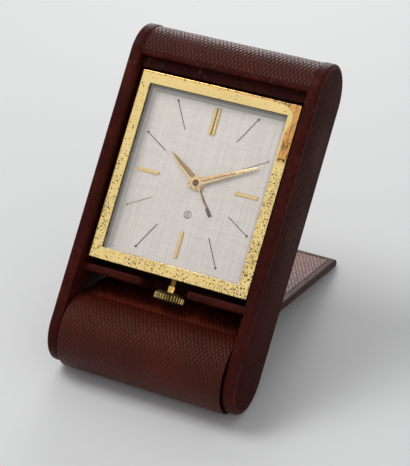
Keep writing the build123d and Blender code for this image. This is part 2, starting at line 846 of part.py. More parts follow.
train_places = [third_place, fourth_place, escape_place, pallet_place, balance_place]
plain_arbors = [alarm_barrel_place, hammer_place]
pocket_floor = plate_front - ratchet_pocket
ratchet_tip = ratchet_pitch * (1 + 2 * addendum_share / ratchet_teeth)
crown_wheel_tip = crown_wheel_pitch * (1 + 2 * addendum_share / crown_wheel_teeth)
pinion_tip = stem_pinion_pitch * (1 + 2 * addendum_share / stem_leaves)

gong_place = (-hammer_side - hammer_head - gong_gap - gong_post_radius, hammer_rise + hammer_length)

with BuildPart() as main_plate:
    block((0, 0), main_plate_width, main_plate_height, plate_back, plate_front)
    disc(barrel_place, ratchet_tip + pocket_gap, pocket_floor, plate_front, mode=Mode.SUBTRACT)
    disc(crown_wheel_place, crown_wheel_tip + pocket_gap, pocket_floor, plate_front, mode=Mode.SUBTRACT)
    bar(click_place, click_nose, 2 * (click_eye + pocket_gap) + click_width, pocket_floor, plate_front,
        mode=Mode.SUBTRACT)
    bar(crown_wheel_place, (crown_side, crown_wheel_place[1] - ridge_radius - 2 * ridge_length),
        2 * (pinion_tip + pocket_gap), pocket_floor, plate_front, mode=Mode.SUBTRACT)
    disc((0, 0), centre_arbor_radius + running_gap, plate_back, plate_front, mode=Mode.SUBTRACT)
    disc(barrel_place, barrel_arbor_radius + running_gap, plate_back, plate_front, mode=Mode.SUBTRACT)
    disc(minute_place, minute_post_radius, plate_front, hour_level + motion_wheel_thickness)
    disc(crown_wheel_place, minute_post_radius, pocket_floor, ratchet_front + end_shake)
    disc(click_place, minute_post_radius, pocket_floor, ratchet_front + end_shake)
    for place in train_places + plain_arbors:
        disc(place, pivot_radius + running_gap, plate_back, plate_back + pivot_depth + running_gap,
             mode=Mode.SUBTRACT)
    for place in ring_screw_places:
        disc(place, small_shank_radius, plate_back, plate_front, mode=Mode.SUBTRACT)
    disc(gong_place, gong_post_radius, plate_back - hammer_level - 2 * hammer_thickness, plate_back)
save(main_plate.part, "main_plate")

with BuildPart() as small_screws:
    for place in ring_screw_places:
        screw(place, small_head_radius, small_head_height, small_shank_radius, plate_back,
              main_plate_thickness + ring_depth / 2, turn=place[1])
    for place in lug_places:
        screw(place, small_head_radius, small_head_height, small_shank_radius, cap_back,
              main_plate_thickness + ring_depth / 2, turn=place[0])
save(small_screws.part, "small_screws")

with BuildPart() as plate_pillars:
    for place in pillar_places:
        disc(place, pillar_radius, rear_plate_front, plate_back)
        disc(place, screw_shank_radius, rear_plate_front, rear_plate_front + screw_depth, mode=Mode.SUBTRACT)
save(plate_pillars.part, "plate_pillars")

with BuildPart() as back_plate:
    block((0, 0), back_plate_width, back_plate_height, rear_plate_back, rear_plate_front)
    disc(balance_place, balance_window, rear_plate_back, rear_plate_front, mode=Mode.SUBTRACT)
    disc(barrel_place, barrel_arbor_radius / 2 + running_gap, rear_plate_back, rear_plate_front,
         mode=Mode.SUBTRACT)
    for place in [(0, 0)] + train_places[:-1] + plain_arbors:
        disc(place, pivot_radius + running_gap, rear_plate_front - pivot_depth - running_gap,
             rear_plate_front, mode=Mode.SUBTRACT)
    for place in pillar_places + [cock_place]:
        disc(place, screw_shank_radius, rear_plate_back, rear_plate_front, mode=Mode.SUBTRACT)
save(back_plate.part, "back_plate")

cock_back = rear_plate_back - cock_thickness
with BuildPart() as balance_cock:
    bar(balance_place, cock_place, cock_width, cock_back, rear_plate_back)
    disc(balance_place, pivot_radius + running_gap, rear_plate_back - pivot_depth, rear_plate_back,
         mode=Mode.SUBTRACT)
    disc(cock_place, screw_shank_radius, cock_back, rear_plate_back, mode=Mode.SUBTRACT)
save(balance_cock.part, "balance_cock")

with BuildPart() as plate_screws:
    for place in pillar_places:
        screw(place, screw_head_radius, screw_head_height, screw_shank_radius, rear_plate_back,
              back_plate_thickness + screw_depth, turn=place[0] + place[1])
    disc(cock_place, screw_shank_radius, cock_back, rear_plate_front)
save(plate_screws.part, "plate_screws")

with BuildPart() as stem_tube:
    stem_round(stem_tube_radius, stem_tube_end, well_bottom)
    stem_round(stem_radius + running_gap, stem_tube_end, well_bottom, mode=Mode.SUBTRACT)
save(stem_tube.part, "stem_tube")


def arbor(place, radius=arbor_radius):
    """An arbor between the plates with a thinner pivot at each end."""
    disc(place, radius, train_back, train_front)
    disc(place, pivot_radius, rear_plate_front - pivot_depth, plate_back + pivot_depth)


# Wheels that turn with the hands
with BuildPart() as centre_wheel:
    disc((0, 0), centre_arbor_radius, train_back, centre_top)
    disc((0, 0), pivot_radius, rear_plate_front - pivot_depth, train_back)
    toothed((0, 0), centre_teeth, centre_pitch, centre_level, centre_level + wheel_thickness,
            heading((0, 0), third_place))
    spoke_windows((0, 0), 4, 2 * centre_arbor_radius, centre_pitch - 2 * wheel_thickness, centre_level,
                  centre_level + wheel_thickness, 2 * wheel_thickness)
    toothed((0, 0), centre_leaves, centre_pinion_pitch, barrel_front - barrel_flange - pinion_overlap,
            barrel_front + pinion_overlap, gap_phase(barrel_place, (0, 0), centre_leaves))
save(centre_wheel.part, "centre_wheel")

with BuildPart() as cannon_pinion:
    disc((0, 0), cannon_radius, cannon_back, cannon_top)
    toothed((0, 0), cannon_teeth, cannon_pitch, cannon_back,
            motion_level + motion_wheel_thickness + pinion_overlap, heading((0, 0), minute_place))
    disc((0, 0), cannon_bore, cannon_back, cannon_top, mode=Mode.SUBTRACT)
save(cannon_pinion.part, "cannon_pinion")

with BuildPart() as minute_wheel:
    toothed(minute_place, minute_teeth, minute_pitch, motion_level, motion_level + motion_wheel_thickness,
            gap_phase((0, 0), minute_place, minute_teeth))
    toothed(minute_place, minute_leaves, minute_pinion_pitch, motion_level + motion_wheel_thickness,
            hour_level + motion_wheel_thickness, heading(minute_place, (0, 0)))
    disc(minute_place, minute_post_radius + running_gap, motion_level, hour_level + motion_wheel_thickness,
         mode=Mode.SUBTRACT)
save(minute_wheel.part, "minute_wheel")

with BuildPart() as hour_wheel:
    toothed((0, 0), hour_teeth, hour_pitch, hour_level, hour_level + motion_wheel_thickness,
            gap_phase(minute_place, (0, 0), hour_teeth))
    disc((0, 0), hour_pipe_radius, hour_level, hour_pipe_top)
    disc((0, 0), hour_pipe_bore, hour_level, hour_pipe_top, mode=Mode.SUBTRACT)
save(hour_wheel.part, "hour_wheel")

with BuildPart() as alarm_wheel:
    toothed((0, 0), alarm_teeth, alarm_wheel_radius, alarm_level, alarm_level + wheel_thickness, 0)
    disc((0, 0), alarm_pipe_radius, alarm_level, alarm_pipe_top)
    disc((0, 0), alarm_pipe_bore, alarm_level, alarm_pipe_top, mode=Mode.SUBTRACT)
save(alarm_wheel.part, "alarm_wheel")


def hand(length, width, tip_width, tip_length, tail, pipe_radius, level, angle):
    """A tapering hand with a pointed end and a hub ring; the angle is clockwise from twelve."""
    turn = 90 - angle
    wide = pipe_radius + hub_rim + width / 2
    shoulder = polar(length - tip_length, turn)
    with BuildSketch(CLOCK.offset(level)) as profile:
        with BuildLine():
            Polyline(
                polar(length, turn),
                beside(shoulder, tip_width / 2, turn + 90),
                beside(polar(wide, turn), width / 2, turn + 90),
                polar(-tail, turn),
                beside(polar(wide, turn), -width / 2, turn + 90),
                beside(shoulder, -tip_width / 2, turn + 90),
                close=True,
            )
        make_face()
        Circle(pipe_radius + hub_rim)
        Circle(pipe_radius, mode=Mode.SUBTRACT)
    extrude(profile.sketch, amount=hand_thickness)


with BuildPart() as minute_hand:
    hand(minute_hand_length, minute_hand_width, minute_tip_width, minute_tip_length, hand_tail, cannon_radius,
         minute_hand_back, minute_angle)
save(minute_hand.part, "minute_hand")

with BuildPart() as hour_hand:
    hand(hour_hand_length, hour_hand_width, hour_tip_width, hour_tip_length, hand_tail, hour_pipe_radius,
         hour_hand_back, hour_angle)
save(hour_hand.part, "hour_hand")

with BuildPart() as alarm_hand:
    alarm_turn = 90 - alarm_angle
    alarm_hand_front = alarm_hand_back + hand_thickness
    block(polar(alarm_hand_length / 2, alarm_turn), alarm_hand_length, alarm_hand_width, alarm_hand_back,
          alarm_hand_front, turn=alarm_turn)
    block(polar(alarm_hand_length - alarm_tip_length / 2, alarm_turn), alarm_tip_length, alarm_tip_width,
          alarm_hand_back, alarm_hand_front, turn=alarm_turn)
    disc((0, 0), alarm_pipe_radius + hub_rim, alarm_hand_back, alarm_hand_front)
    disc((0, 0), alarm_pipe_radius, alarm_hand_back, alarm_hand_front, mode=Mode.SUBTRACT)
save(alarm_hand.part, "alarm_hand")

# Going train
with BuildPart() as going_barrel:
    toothed(barrel_place, barrel_teeth, barrel_pitch, barrel_front - barrel_flange, barrel_front,
            heading(barrel_place, (0, 0)))
    barrel_radius = barrel_pitch * (1 - 2 * dedendum_share / barrel_teeth) - barrel_rim_gap
    disc(barrel_place, barrel_radius, barrel_back, barrel_front)
    disc(barrel_place, barrel_radius - barrel_wall, barrel_back + barrel_wall, barrel_front - barrel_flange,
         mode=Mode.SUBTRACT)
    disc(barrel_place, barrel_arbor_radius + running_gap, barrel_back, barrel_front, mode=Mode.SUBTRACT)
save(going_barrel.part, "going_barrel")

with BuildPart() as mainspring:
    spring_outer = barrel_radius - barrel_wall
    disc(barrel_place, spring_outer, barrel_back + barrel_wall, barrel_front - barrel_flange)
    disc(barrel_place, barrel_arbor_radius + spring_gap, barrel_back + barrel_wall,
         barrel_front - barrel_flange, mode=Mode.SUBTRACT)
save(mainspring.part, "mainspring")

ratchet_heading = heading(crown_wheel_place, barrel_place)
with BuildPart() as ratchet_wheel:
    toothed(barrel_place, ratchet_teeth, ratchet_pitch, ratchet_back, ratchet_front,
            gap_phase(crown_wheel_place, barrel_place, ratchet_teeth))
    disc(barrel_place, barrel_arbor_radius, train_back, ratchet_front)
    disc(barrel_place, barrel_arbor_radius / 2, rear_plate_front - pivot_depth, train_back)
save(ratchet_wheel.part, "ratchet_wheel")

with BuildPart() as crown_wheel:
    toothed(crown_wheel_place, crown_wheel_teeth, crown_wheel_pitch, ratchet_back, ratchet_front,
            ratchet_heading)
    ridge_pitch = 360 / crown_wheel_teeth
    for ridge in range(crown_wheel_teeth):
        turn = ridge_pitch * (ridge + 1 / 2) - 90
        block(beside(crown_wheel_place, ridge_radius, turn), ridge_length, ridge_width, ratchet_front,
              ratchet_front + ridge_height, turn=turn)
    disc(crown_wheel_place, minute_post_radius + running_gap, ratchet_back, ratchet_front, mode=Mode.SUBTRACT)
save(crown_wheel.part, "crown_wheel")

with BuildPart() as click:
    bar(click_place, click_nose, click_width, ratchet_back, ratchet_front)
    disc(click_place, click_eye, ratchet_back, ratchet_front)
    disc(click_place, minute_post_radius + running_gap, ratchet_back, ratchet_front, mode=Mode.SUBTRACT)
save(click.part, "click")

with BuildPart() as third_wheel:
    arbor(third_place)
    toothed(third_place, third_teeth, third_pitch, third_level, third_level + wheel_thickness,
            heading(third_place, fourth_place))
    spoke_windows(third_place, 4, 4 * arbor_radius, third_pitch - 2 * wheel_thickness, third_level,
                  third_level + wheel_thickness, 2 * wheel_thickness)
    toothed(third_place, third_leaves, third_pinion_pitch, centre_level - pinion_overlap,
            centre_level + wheel_thickness + pinion_overlap, gap_phase((0, 0), third_place, third_leaves))
save(third_wheel.part, "third_wheel")

with BuildPart() as fourth_wheel:
    arbor(fourth_place)
    toothed(fourth_place, fourth_teeth, fourth_pitch, fourth_level, fourth_level + wheel_thickness,
            heading(fourth_place, escape_place))
    spoke_windows(fourth_place, 4, 4 * arbor_radius, fourth_pitch - 2 * wheel_thickness, fourth_level,
                  fourth_level + wheel_thickness, 2 * wheel_thickness)
    toothed(fourth_place, fourth_leaves, fourth_pinion_pitch, third_level - pinion_overlap,
            third_level + wheel_thickness + pinion_overlap,
            gap_phase(third_place, fourth_place, fourth_leaves))
save(fourth_wheel.part, "fourth_wheel")

with BuildPart() as escape_wheel:
    arbor(escape_place)
    escape_pitch = 360 / escape_teeth
    escape_points = []
    for tooth in range(escape_teeth):
        middle = tooth * escape_pitch
        escape_points.append(beside(escape_place, escape_root, middle))
        escape_points.append(beside(escape_place, escape_radius, middle + escape_pitch / 2))
        escape_points.append(beside(escape_place, escape_root, middle + escape_pitch * 2 / 3))
    with BuildSketch(CLOCK.offset(escape_level)):
        with BuildLine():
            Polyline(*escape_points, close=True)
        make_face()
    extrude(amount=wheel_thickness)
    toothed(escape_place, escape_leaves, escape_pinion_pitch, fourth_level - pinion_overlap,
            fourth_level + wheel_thickness + pinion_overlap,
            gap_phase(fourth_place, escape_place, escape_leaves))
save(escape_wheel.part, "escape_wheel")

with BuildPart() as pallet_lever:
    arbor(pallet_place)
    fork_end = beside(pallet_place, balance_distance - roller_radius - fork_gap - pallet_width / 2,
                      heading(pallet_place, balance_place))
    bar(pallet_place, fork_end, pallet_width, pallet_back, pallet_back + pallet_thickness)
    pallet_heading = heading(escape_place, pallet_place)
    for sign in (-1, 1):
        stone_reach = escape_radius + pallet_gap + pallet_width / 2
        stone = beside(escape_place, stone_reach, pallet_heading + sign * 30)
        bar(pallet_place, stone, pallet_width, pallet_back, pallet_back + pallet_thickness)
save(pallet_lever.part, "pallet_lever")

with BuildPart() as balance_wheel:
    disc(balance_place, arbor_radius, cock_back + pivot_depth + 2 * end_shake, train_front)
    disc(balance_place, pivot_radius, cock_back + pivot_depth / 2, plate_back + pivot_depth)
    disc(balance_place, balance_radius, balance_back, balance_back + balance_thickness)
    spoke_windows(balance_place, 3, 4 * arbor_radius, balance_radius - balance_rim, balance_back,
                  balance_back + balance_thickness, balance_rim)
    disc(balance_place, roller_radius, pallet_back, pallet_back + pallet_thickness)
save(balance_wheel.part, "balance_wheel")

with BuildPart() as hairspring:
    spring_back = plate_back - hairspring_level - hairspring_height
    steps = hairspring_steps * hairspring_turns
    growth = (hairspring_outer - hairspring_inner) / steps
    inner_edge = []
    outer_edge = []
    for step in range(steps + 1):
        reach = hairspring_inner + growth * step
        turn = 360 / hairspring_steps * step
        inner_edge.append(beside(balance_place, reach - hairspring_strip / 2, turn))
        outer_edge.append(beside(balance_place, reach + hairspring_strip / 2, turn))
    with BuildSketch(CLOCK.offset(spring_back)):
        with BuildLine():
            Polyline(*(inner_edge + outer_edge[::-1]), close=True)
        make_face()
    extrude(amount=hairspring_height)
    disc(balance_place, hairspring_inner, spring_back, spring_back + hairspring_height)
    disc(balance_place, arbor_radius, spring_back, spring_back + hairspring_height, mode=Mode.SUBTRACT)
save(hairspring.part, "hairspring")

# Alarm work
with BuildPart() as alarm_barrel:
    arbor(alarm_barrel_place, radius=2 * arbor_radius)
    disc(alarm_barrel_place, alarm_barrel_radius, barrel_front - alarm_barrel_depth, barrel_front)
save(alarm_barrel.part, "alarm_barrel")

with BuildPart() as alarm_hammer:
    arbor(hammer_place)
    hammer_tip = beside(hammer_place, hammer_length, 90)
    hammer_back = plate_back - hammer_level - hammer_thickness
    bar(hammer_place, hammer_tip, hammer_width, hammer_back, hammer_back + hammer_thickness)
    disc(hammer_tip, hammer_head, hammer_back, hammer_back + hammer_thickness)
save(alarm_hammer.part, "alarm_hammer")

# Winding stem, its sliding yoke and the crown
with BuildPart() as stem:
    stem_round(stem_radius, crown_bottom + crown_height - stem_seat, stem_top)
    groove_bottom = yoke_bottom - running_gap
    groove_top = yoke_bottom + yoke_height + running_gap
    stem_round(stem_radius, groove_bottom, groove_top, mode=Mode.SUBTRACT)
    stem_round(groove_radius, groove_bottom, groove_top)
    stem_module = 2 * stem_pinion_pitch / stem_leaves
    stem_tip = stem_pinion_pitch + addendum_share * stem_module
    stem_root = stem_pinion_pitch - dedendum_share * stem_module
    stem_pitch = 360 / stem_leaves
    leaf_points = []
    for leaf in range(stem_leaves):
        middle = 90 + leaf * stem_pitch
        for reach, share in ((stem_root, -root_share), (stem_tip, -tip_share), (stem_tip, tip_share),
                             (stem_root, root_share)):
            leaf_points.append(beside((crown_side, -stem_level), reach, middle + share * stem_pitch / 2))
    with BuildSketch(PLAN.offset(stem_top - ridge_length)):
        with BuildLine():
            Polyline(*leaf_points, close=True)
        make_face()
    extrude(amount=ridge_length)
save(stem.part, "stem")

with BuildPart() as setting_yoke:
    with BuildSketch(PLAN.offset(yoke_bottom)):
        with Locations((crown_side, -stem_level)):
            Rectangle(yoke_width, yoke_depth)
            Circle(groove_radius + running_gap, mode=Mode.SUBTRACT)
            Rectangle(2 * (groove_radius + running_gap), yoke_depth, align=(Align.CENTER, Align.MAX),
                      mode=Mode.SUBTRACT)
    extrude(amount=yoke_height)
save(setting_yoke.part, "setting_yoke")

with BuildPart() as crown:
    crown_pitch = 360 / crown_teeth
    crown_points = []
    for tooth in range(crown_teeth):
        middle = tooth * crown_pitch
        crown_points.append(beside((crown_side, -stem_level), crown_radius, middle))
        middle += crown_pitch / 2
        crown_points.append(beside((crown_side, -stem_level), crown_radius - crown_groove, middle))
    with BuildSketch(PLAN.offset(crown_bottom)):
        with BuildLine():
            Polyline(*crown_points, close=True)
        make_face()
    extrude(amount=crown_height)
    crown_top = crown_bottom + crown_height
    stem_round(crown_neck_radius, crown_top, crown_top + crown_neck)
    stem_round(stem_radius, crown_top - stem_seat, crown_top + crown_neck, mode=Mode.SUBTRACT)
save(crown.part, "crown")
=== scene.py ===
"""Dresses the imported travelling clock: grained leather, gilt bezel, linen dial and bright hands."""

import json
import math

import bmesh
import bpy
from bpy.props import FloatProperty, FloatVectorProperty, IntProperty, PointerProperty
from mathutils import Matrix, Vector


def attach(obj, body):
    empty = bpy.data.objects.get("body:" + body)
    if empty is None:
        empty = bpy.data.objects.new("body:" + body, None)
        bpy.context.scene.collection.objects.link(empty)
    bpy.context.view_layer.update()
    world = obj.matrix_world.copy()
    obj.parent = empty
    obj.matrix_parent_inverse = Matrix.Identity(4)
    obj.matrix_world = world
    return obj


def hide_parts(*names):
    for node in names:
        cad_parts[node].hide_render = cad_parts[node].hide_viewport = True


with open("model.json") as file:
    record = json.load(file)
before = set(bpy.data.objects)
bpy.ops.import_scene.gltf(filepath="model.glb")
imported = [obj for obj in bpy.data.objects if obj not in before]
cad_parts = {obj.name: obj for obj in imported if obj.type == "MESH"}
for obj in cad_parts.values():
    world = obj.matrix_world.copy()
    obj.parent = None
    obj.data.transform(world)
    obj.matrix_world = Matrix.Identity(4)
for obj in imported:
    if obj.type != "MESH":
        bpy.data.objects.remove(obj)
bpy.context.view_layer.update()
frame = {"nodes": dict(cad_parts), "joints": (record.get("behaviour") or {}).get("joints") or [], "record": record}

bl_info = {
    "name": "Travelling clock in a leather case",
    "version": (1, 0, 0),
    "blender": (4, 5, 0),
    "location": "View3D > Sidebar > Clock",
    "description": "Leather, gilt and dial pieces for a small folding travel clock",
    "category": "Object",
}

MM = 0.001
TINY = 0.001 * MM
NEAR = 0.01 * MM
JOINTS = {joint["name"]: joint for joint in frame["joints"]}
DRUM_AXIS = Vector(JOINTS["cover_pivot"]["pos_m"])
CLOCK_CENTRE = Vector(JOINTS["minute_turn"]["pos_m"])
CROWN_FOOT = Vector(JOINTS["crown_turn"]["pos_m"])
RIGHT = Vector((1, 0, 0))
BACKWARD = Vector(JOINTS["minute_turn"]["axis"]).normalized()
UPWARD = (-BACKWARD).cross(RIGHT)
LEAN = math.atan2(UPWARD.y, UPWARD.z)
SLOPE = LEAN - math.radians(JOINTS["cover_pivot"]["range_deg"][1] - 270)
ALONG = Vector((0, math.cos(SLOPE), -math.sin(SLOPE)))


def axes(origin, first, second):
    """Matrix of a place with two of its axes; the third follows from them."""
    turn = Matrix((first, second, first.cross(second))).transposed()
    return Matrix.Translation(origin) @ turn.to_4x4()


CASE = axes(DRUM_AXIS, RIGHT, UPWARD)
CLOCK = axes(CLOCK_CENTRE, RIGHT, UPWARD)
CHEEK = axes(DRUM_AXIS, BACKWARD, UPWARD)
COVER = axes(DRUM_AXIS, RIGHT, ALONG)
CROWN = axes(CROWN_FOOT, RIGHT, UPWARD.cross(RIGHT))


def local_points(node, place):
    """The points of a CAD node in the axes of a place."""
    back = place.inverted()
    return [back @ vertex.co for vertex in frame["nodes"][node].data.vertices]


def box_of(points):
    """Lowest and highest corner of some points."""
    return tuple(Vector([pick(point[k] for point in points) for k in range(3)]) for pick in (min, max))


def local_box(node, place):
    """Lowest and highest corner of a CAD node in the axes of a place."""
    return box_of(local_points(node, place))


# Properties, given in millimetres, degrees and watts
def a_length(name, description, value):
    return FloatProperty(name=name, description=description, default=value * MM, unit="LENGTH")


def an_angle(name, description, value):
    return FloatProperty(name=name, description=description, default=math.radians(value), subtype="ANGLE")


def a_power(name, description, value):
    return FloatProperty(name=name, description=description, default=value, unit="POWER")


def a_colour(name, description, value):
    return FloatVectorProperty(name=name, description=description, subtype="COLOR", size=3, default=value)


class CaseSizes(bpy.types.PropertyGroup):
    """Sizes of the leather case."""

    skin: a_length("Skin", "Thickness of the leather", 0.7)
    soft_edge: a_length("Soft edge", "Rounding of folded leather", 0.45)
    rim: a_length("Cheek rim", "Rounding of the cheeks' outer rim", 0.9)
    inner_rim: a_length("Inner rim", "Rounding of the cheek leathers' inner edge", 0.12)
    welt: a_length("Welt", "Width of the groove beside the cheeks' rim", 0.45)
    welt_floor: a_length("Welt floor", "Drop into the groove beside the cheeks' rim", 0.16)
    welt_rise: a_length("Welt rise", "Rise out of the groove beside the cheeks' rim", 0.15)
    lining_edge: a_length("Lining edge", "Rounding of the cheeks' inner faces", 0.35)
    lip_turn: a_length("Lip turn", "Rounding where the lips turn into the notch", 1.2)
    lip_roll: a_length("Lip roll", "Rounding of the lips' folded edge", 0.8)
    cover: a_length("Edge cover", "Leather over the shelf board's ends in the notch", 0.42)
    border: a_length("Border", "Smooth fold along the panel's edges", 1.5)
    crease: a_length("Crease", "Width of the crease beside the panel's fold", 0.16)
    crease_floor: a_length("Crease floor", "Drop into the crease beside the panel's fold", 0.12)
    crease_rise: a_length("Crease rise", "Rise out of the crease beside the panel's fold", 0.10)
    cloth_rise: a_length("Cloth rise", "How far the panel's cloth stands proud", 0.05)
    cloth_edge: a_length("Cloth edge", "Rounding of the panel's cloth", 0.15)


class ClockSizes(bpy.types.PropertyGroup):
    """Sizes of the clock's visible metal."""

    bezel_edge: a_length("Bezel edge", "Rounding of the bezel's outer edges", 0.32)
    bezel_corner: a_length("Bezel corner", "Rounding of the bezel's corners", 0.5)
    bezel_lip: a_length("Bezel lip", "How far the bezel's opening is drawn in", 0.35)
    bezel_arris: a_length("Bezel arris", "Rounding of the bezel's inner edge", 0.1)
    baton_edge: a_length("Baton edge", "Bevel of the hour batons", 0.2)
    ridge: a_length("Ridge", "Drop of a hand's edges beside its ridge", 0.12)
    tail: a_length("Tail", "Reach of a hand behind the centre", 2.75)
    tail_root: a_length("Tail root", "Half width of a hand's tail at its root", 0.9)
    tail_end: a_length("Tail end", "Half width of a hand's tail at its end", 0.75)
    shoulder: a_length("Shoulder", "From a hub's edge to a hand's greatest width", 0.5)
    inlay: a_length("Inlay", "Width of the dark line along a hand", 0.26)
    inlay_rise: a_length("Inlay rise", "Height of the dark line over its hand", 0.02)
    hub_rise: a_length("Hub rise", "Height of a hub ring over its hand", 0.1)
    hub_edge: a_length("Hub edge", "Bevel of a hub ring", 0.08)
    minute_width: a_length("Minute hand", "Greatest width of the minute hand", 2.2)
    minute_tip: a_length("Minute tip", "Width of the minute hand where its point starts", 0.9)
    minute_point: a_length("Minute point", "Length of the minute hand's point", 0.7)
    hour_width: a_length("Hour hand", "Greatest width of the hour hand", 2.7)
    hour_tip: a_length("Hour tip", "Width of the hour hand where its point starts", 1.15)
    hour_point: a_length("Hour point", "Length of the hour hand's point", 2.4)
    alarm_width: a_length("Alarm hand", "Width of the alarm hand", 0.85)
    alarm_tip: a_length("Alarm tip", "Length of the alarm hand's dark tip", 3.0)
    alarm_tip_width: a_length("Alarm tip width", "Width of the alarm hand's dark tip", 1.1)
    minute_angle: an_angle("Minute angle", "Minute hand, clockwise from twelve", 63.4)
    hour_angle: an_angle("Hour angle", "Hour hand, clockwise from twelve", -54.9)
    alarm_angle: an_angle("Alarm angle", "Alarm hand, clockwise from twelve", 140.9)
    crown_ribs: IntProperty(name="Crown ribs", description="Ribs round the crown", default=32, min=12)
    crown_groove: a_length("Crown groove", "Depth of the grooves round the crown", 0.42)
    crown_taper: a_length("Crown taper", "Bevel of the crown's two rims", 0.75)
    collar_edge: a_length("Collar edge", "Bevel of the crown's collar", 0.2)


class Finishes(bpy.types.PropertyGroup):
    """Colours of the clock and its case."""

    leather: a_colour("Leather", "Grained leather", (0.062, 0.0088, 0.0046))
    smooth: a_colour("Smooth leather", "Leather of rims and folds", (0.052, 0.0075, 0.0055))
    lining: a_colour("Lining", "Cloth inside the cover", (0.045, 0.008, 0.009))
    gilt: a_colour("Gilt", "Polished gilt brass", (0.98, 0.735, 0.31))
    dial: a_colour("Dial", "Silvered dial", (0.61, 0.548, 0.512))
    floor: a_colour("Floor", "Floor and backdrop", (0.78, 0.78, 0.78))


class StageSizes(bpy.types.PropertyGroup):
    """Camera and lamps."""

    lens: FloatProperty(name="Lens", description="Focal length in millimetres", default=149.2)
    distance: a_length("Distance", "From the camera to what it looks at", 507.6)
    azimuth: an_angle("Azimuth", "Turn of the camera round the clock", 25.55)
    elevation: an_angle("Elevation", "Rise of the camera", 34.34)
    target_side: a_length("Target side", "Sideways place that the camera looks at", 17.74)
    target_height: a_length("Target height", "Height that the camera looks at", 63.63)
    key: a_power("Key lamp", "Power of the large lamp", 4.2)
    fill: a_power("Fill lamp", "Power of the soft side lamp", 1.0)
    rim: a_power("Back lamp", "Power of the lamp behind", 2.6)


# Steps of round ends, the roll and strips, and shares of the cover and the hands
END_STEPS = 40
ROLL_STEPS = 44
SWEEP_STEPS = 24
GRAIN_SHARE = 0.83
PANEL_END = 0.36
TUCK = 0.02
HAND_ROOT = 0.42
MINUTE_INLAY = 0.65
HOUR_INLAY = 0.78


# Shapes that several pieces share
def new_mesh_piece(name, bm, place, body, finishes, sharp=35, nodes=()):
    """Makes a finished piece from a bmesh that was drawn in the axes of a place."""
    bmesh.ops.transform(bm, matrix=place, verts=bm.verts)
    mesh = bpy.data.meshes.new(name)
    bm.to_mesh(mesh)
    bm.free()
    for polygon in mesh.polygons:
        polygon.use_smooth = True
    mesh.set_sharp_from_angle(angle=math.radians(sharp))
    piece = bpy.data.objects.new(name, mesh)
    bpy.context.scene.collection.objects.link(piece)
    for finish in finishes:
        mesh.materials.append(FINISH[finish])
    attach(piece, body)
    if nodes:
        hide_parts(*nodes)


def bevel(bm, edges, offset, segments=3):
    bmesh.ops.bevel(bm, geom=list(edges), offset=offset, segments=segments, profile=0.5, affect="EDGES",
                    material=-1)


def block(bm, low, high):
    """Adds a box between two corners and returns its vertices."""
    low, high = Vector(low), Vector(high)
    made = bmesh.ops.create_cube(bm, size=1)["verts"]
    bmesh.ops.scale(bm, vec=high - low, verts=made)
    bmesh.ops.translate(bm, vec=(high + low) / 2, verts=made)
    return made


def edges_along(vertices, axis):
    """Edges among the vertices that run along an axis."""
    kept = set(vertices)
    found = []
    for edge in {edge for vertex in kept for edge in vertex.link_edges}:
        run = edge.verts[1].co - edge.verts[0].co
        if run.length and abs(run.normalized()[axis]) > 0.99 and set(edge.verts) <= kept:
            found.append(edge)
    return found


def edges_at(bm, axis, level):
    """Edges that lie wholly at one level of an axis."""
    return [edge for edge in bm.edges if all(abs(vertex.co[axis] - level) < NEAR for vertex in edge.verts)]


def arrises(edges):
    """Edges where two faces meet at a clear angle."""
    return [edge for edge in edges if len(edge.link_faces) == 2 and edge.calc_face_angle(0) > 0.5]


def extreme_face(bm, sign=1):
    """The face whose middle is highest along the third axis, or lowest with a negative sign."""
    return max(bm.faces, key=lambda item: sign * item.calc_center_median().z)


def inset(bm, face, *steps):
    """Insets a face step by step, each with its width and its depth."""
    for thickness, depth in steps:
        bmesh.ops.inset_region(bm, faces=[face], thickness=thickness, depth=depth, use_even_offset=True)


def set_finish(vertices, index):
    """Gives the faces round some vertices a finish of the piece."""
    for face in {face for vertex in vertices for face in vertex.link_faces}:
        face.material_index = index


def of_kind(geometry, kind):
    return [item for item in geometry if isinstance(item, kind)]


def half_turn(bm, vertex, centre):
    """Draws half a circle from a vertex round a centre and returns its last vertex."""
    made = bmesh.ops.spin(bm, geom=[vertex], cent=centre, axis=(0, 0, 1), angle=math.pi, steps=END_STEPS)
    return made["geom_last"][0]


def stadium_face(bm, radius, span, level):
    """A face with two straight sides and two round ends, at a level of the third axis."""
    first = bm.verts.new((-radius, 0, level))
    last = half_turn(bm, first, (0, 0, level))
    risen = bmesh.ops.extrude_vert_indiv(bm, verts=[last])["verts"]
    bmesh.ops.translate(bm, vec=(0, span, 0), verts=risen)
    bm.edges.new((half_turn(bm, risen[0], (0, span, level)), first))
    return bmesh.ops.contextual_create(bm, geom=list(bm.edges))["faces"]


def raise_faces(bm, faces, vector):
    """Extrudes faces and closes what they leave behind; returns the moved faces."""
    grown = bmesh.ops.extrude_face_region(bm, geom=faces, use_keep_orig=True)["geom"]
    bmesh.ops.translate(bm, vec=vector, verts=of_kind(grown, bmesh.types.BMVert))
    bmesh.ops.recalc_face_normals(bm, faces=bm.faces)
    return of_kind(grown, bmesh.types.BMFace)


def drawn_out(bm, edges, vector):
    """Extrudes edges by a vector; returns the new edges and their vertices."""
    grown = bmesh.ops.extrude_edge_only(bm, edges=edges)["geom"]
    moved = of_kind(grown, bmesh.types.BMVert)
    bmesh.ops.translate(bm, vec=vector, verts=moved)
    kept = set(moved)
    return [edge for edge in of_kind(grown, bmesh.types.BMEdge) if set(edge.verts) <= kept], moved


def grain_map(bm, rule):
    """Writes the leather's own map, in millimetres, from a rule that reads a point."""
    layer = bm.loops.layers.uv.new("grain")
    for face in bm.faces:
        for loop in face.loops:
            loop[layer].uv = [run / MM for run in rule(loop.vert.co)]


# Shader groups and finishes
GROUPS = {}
FINISH = {}


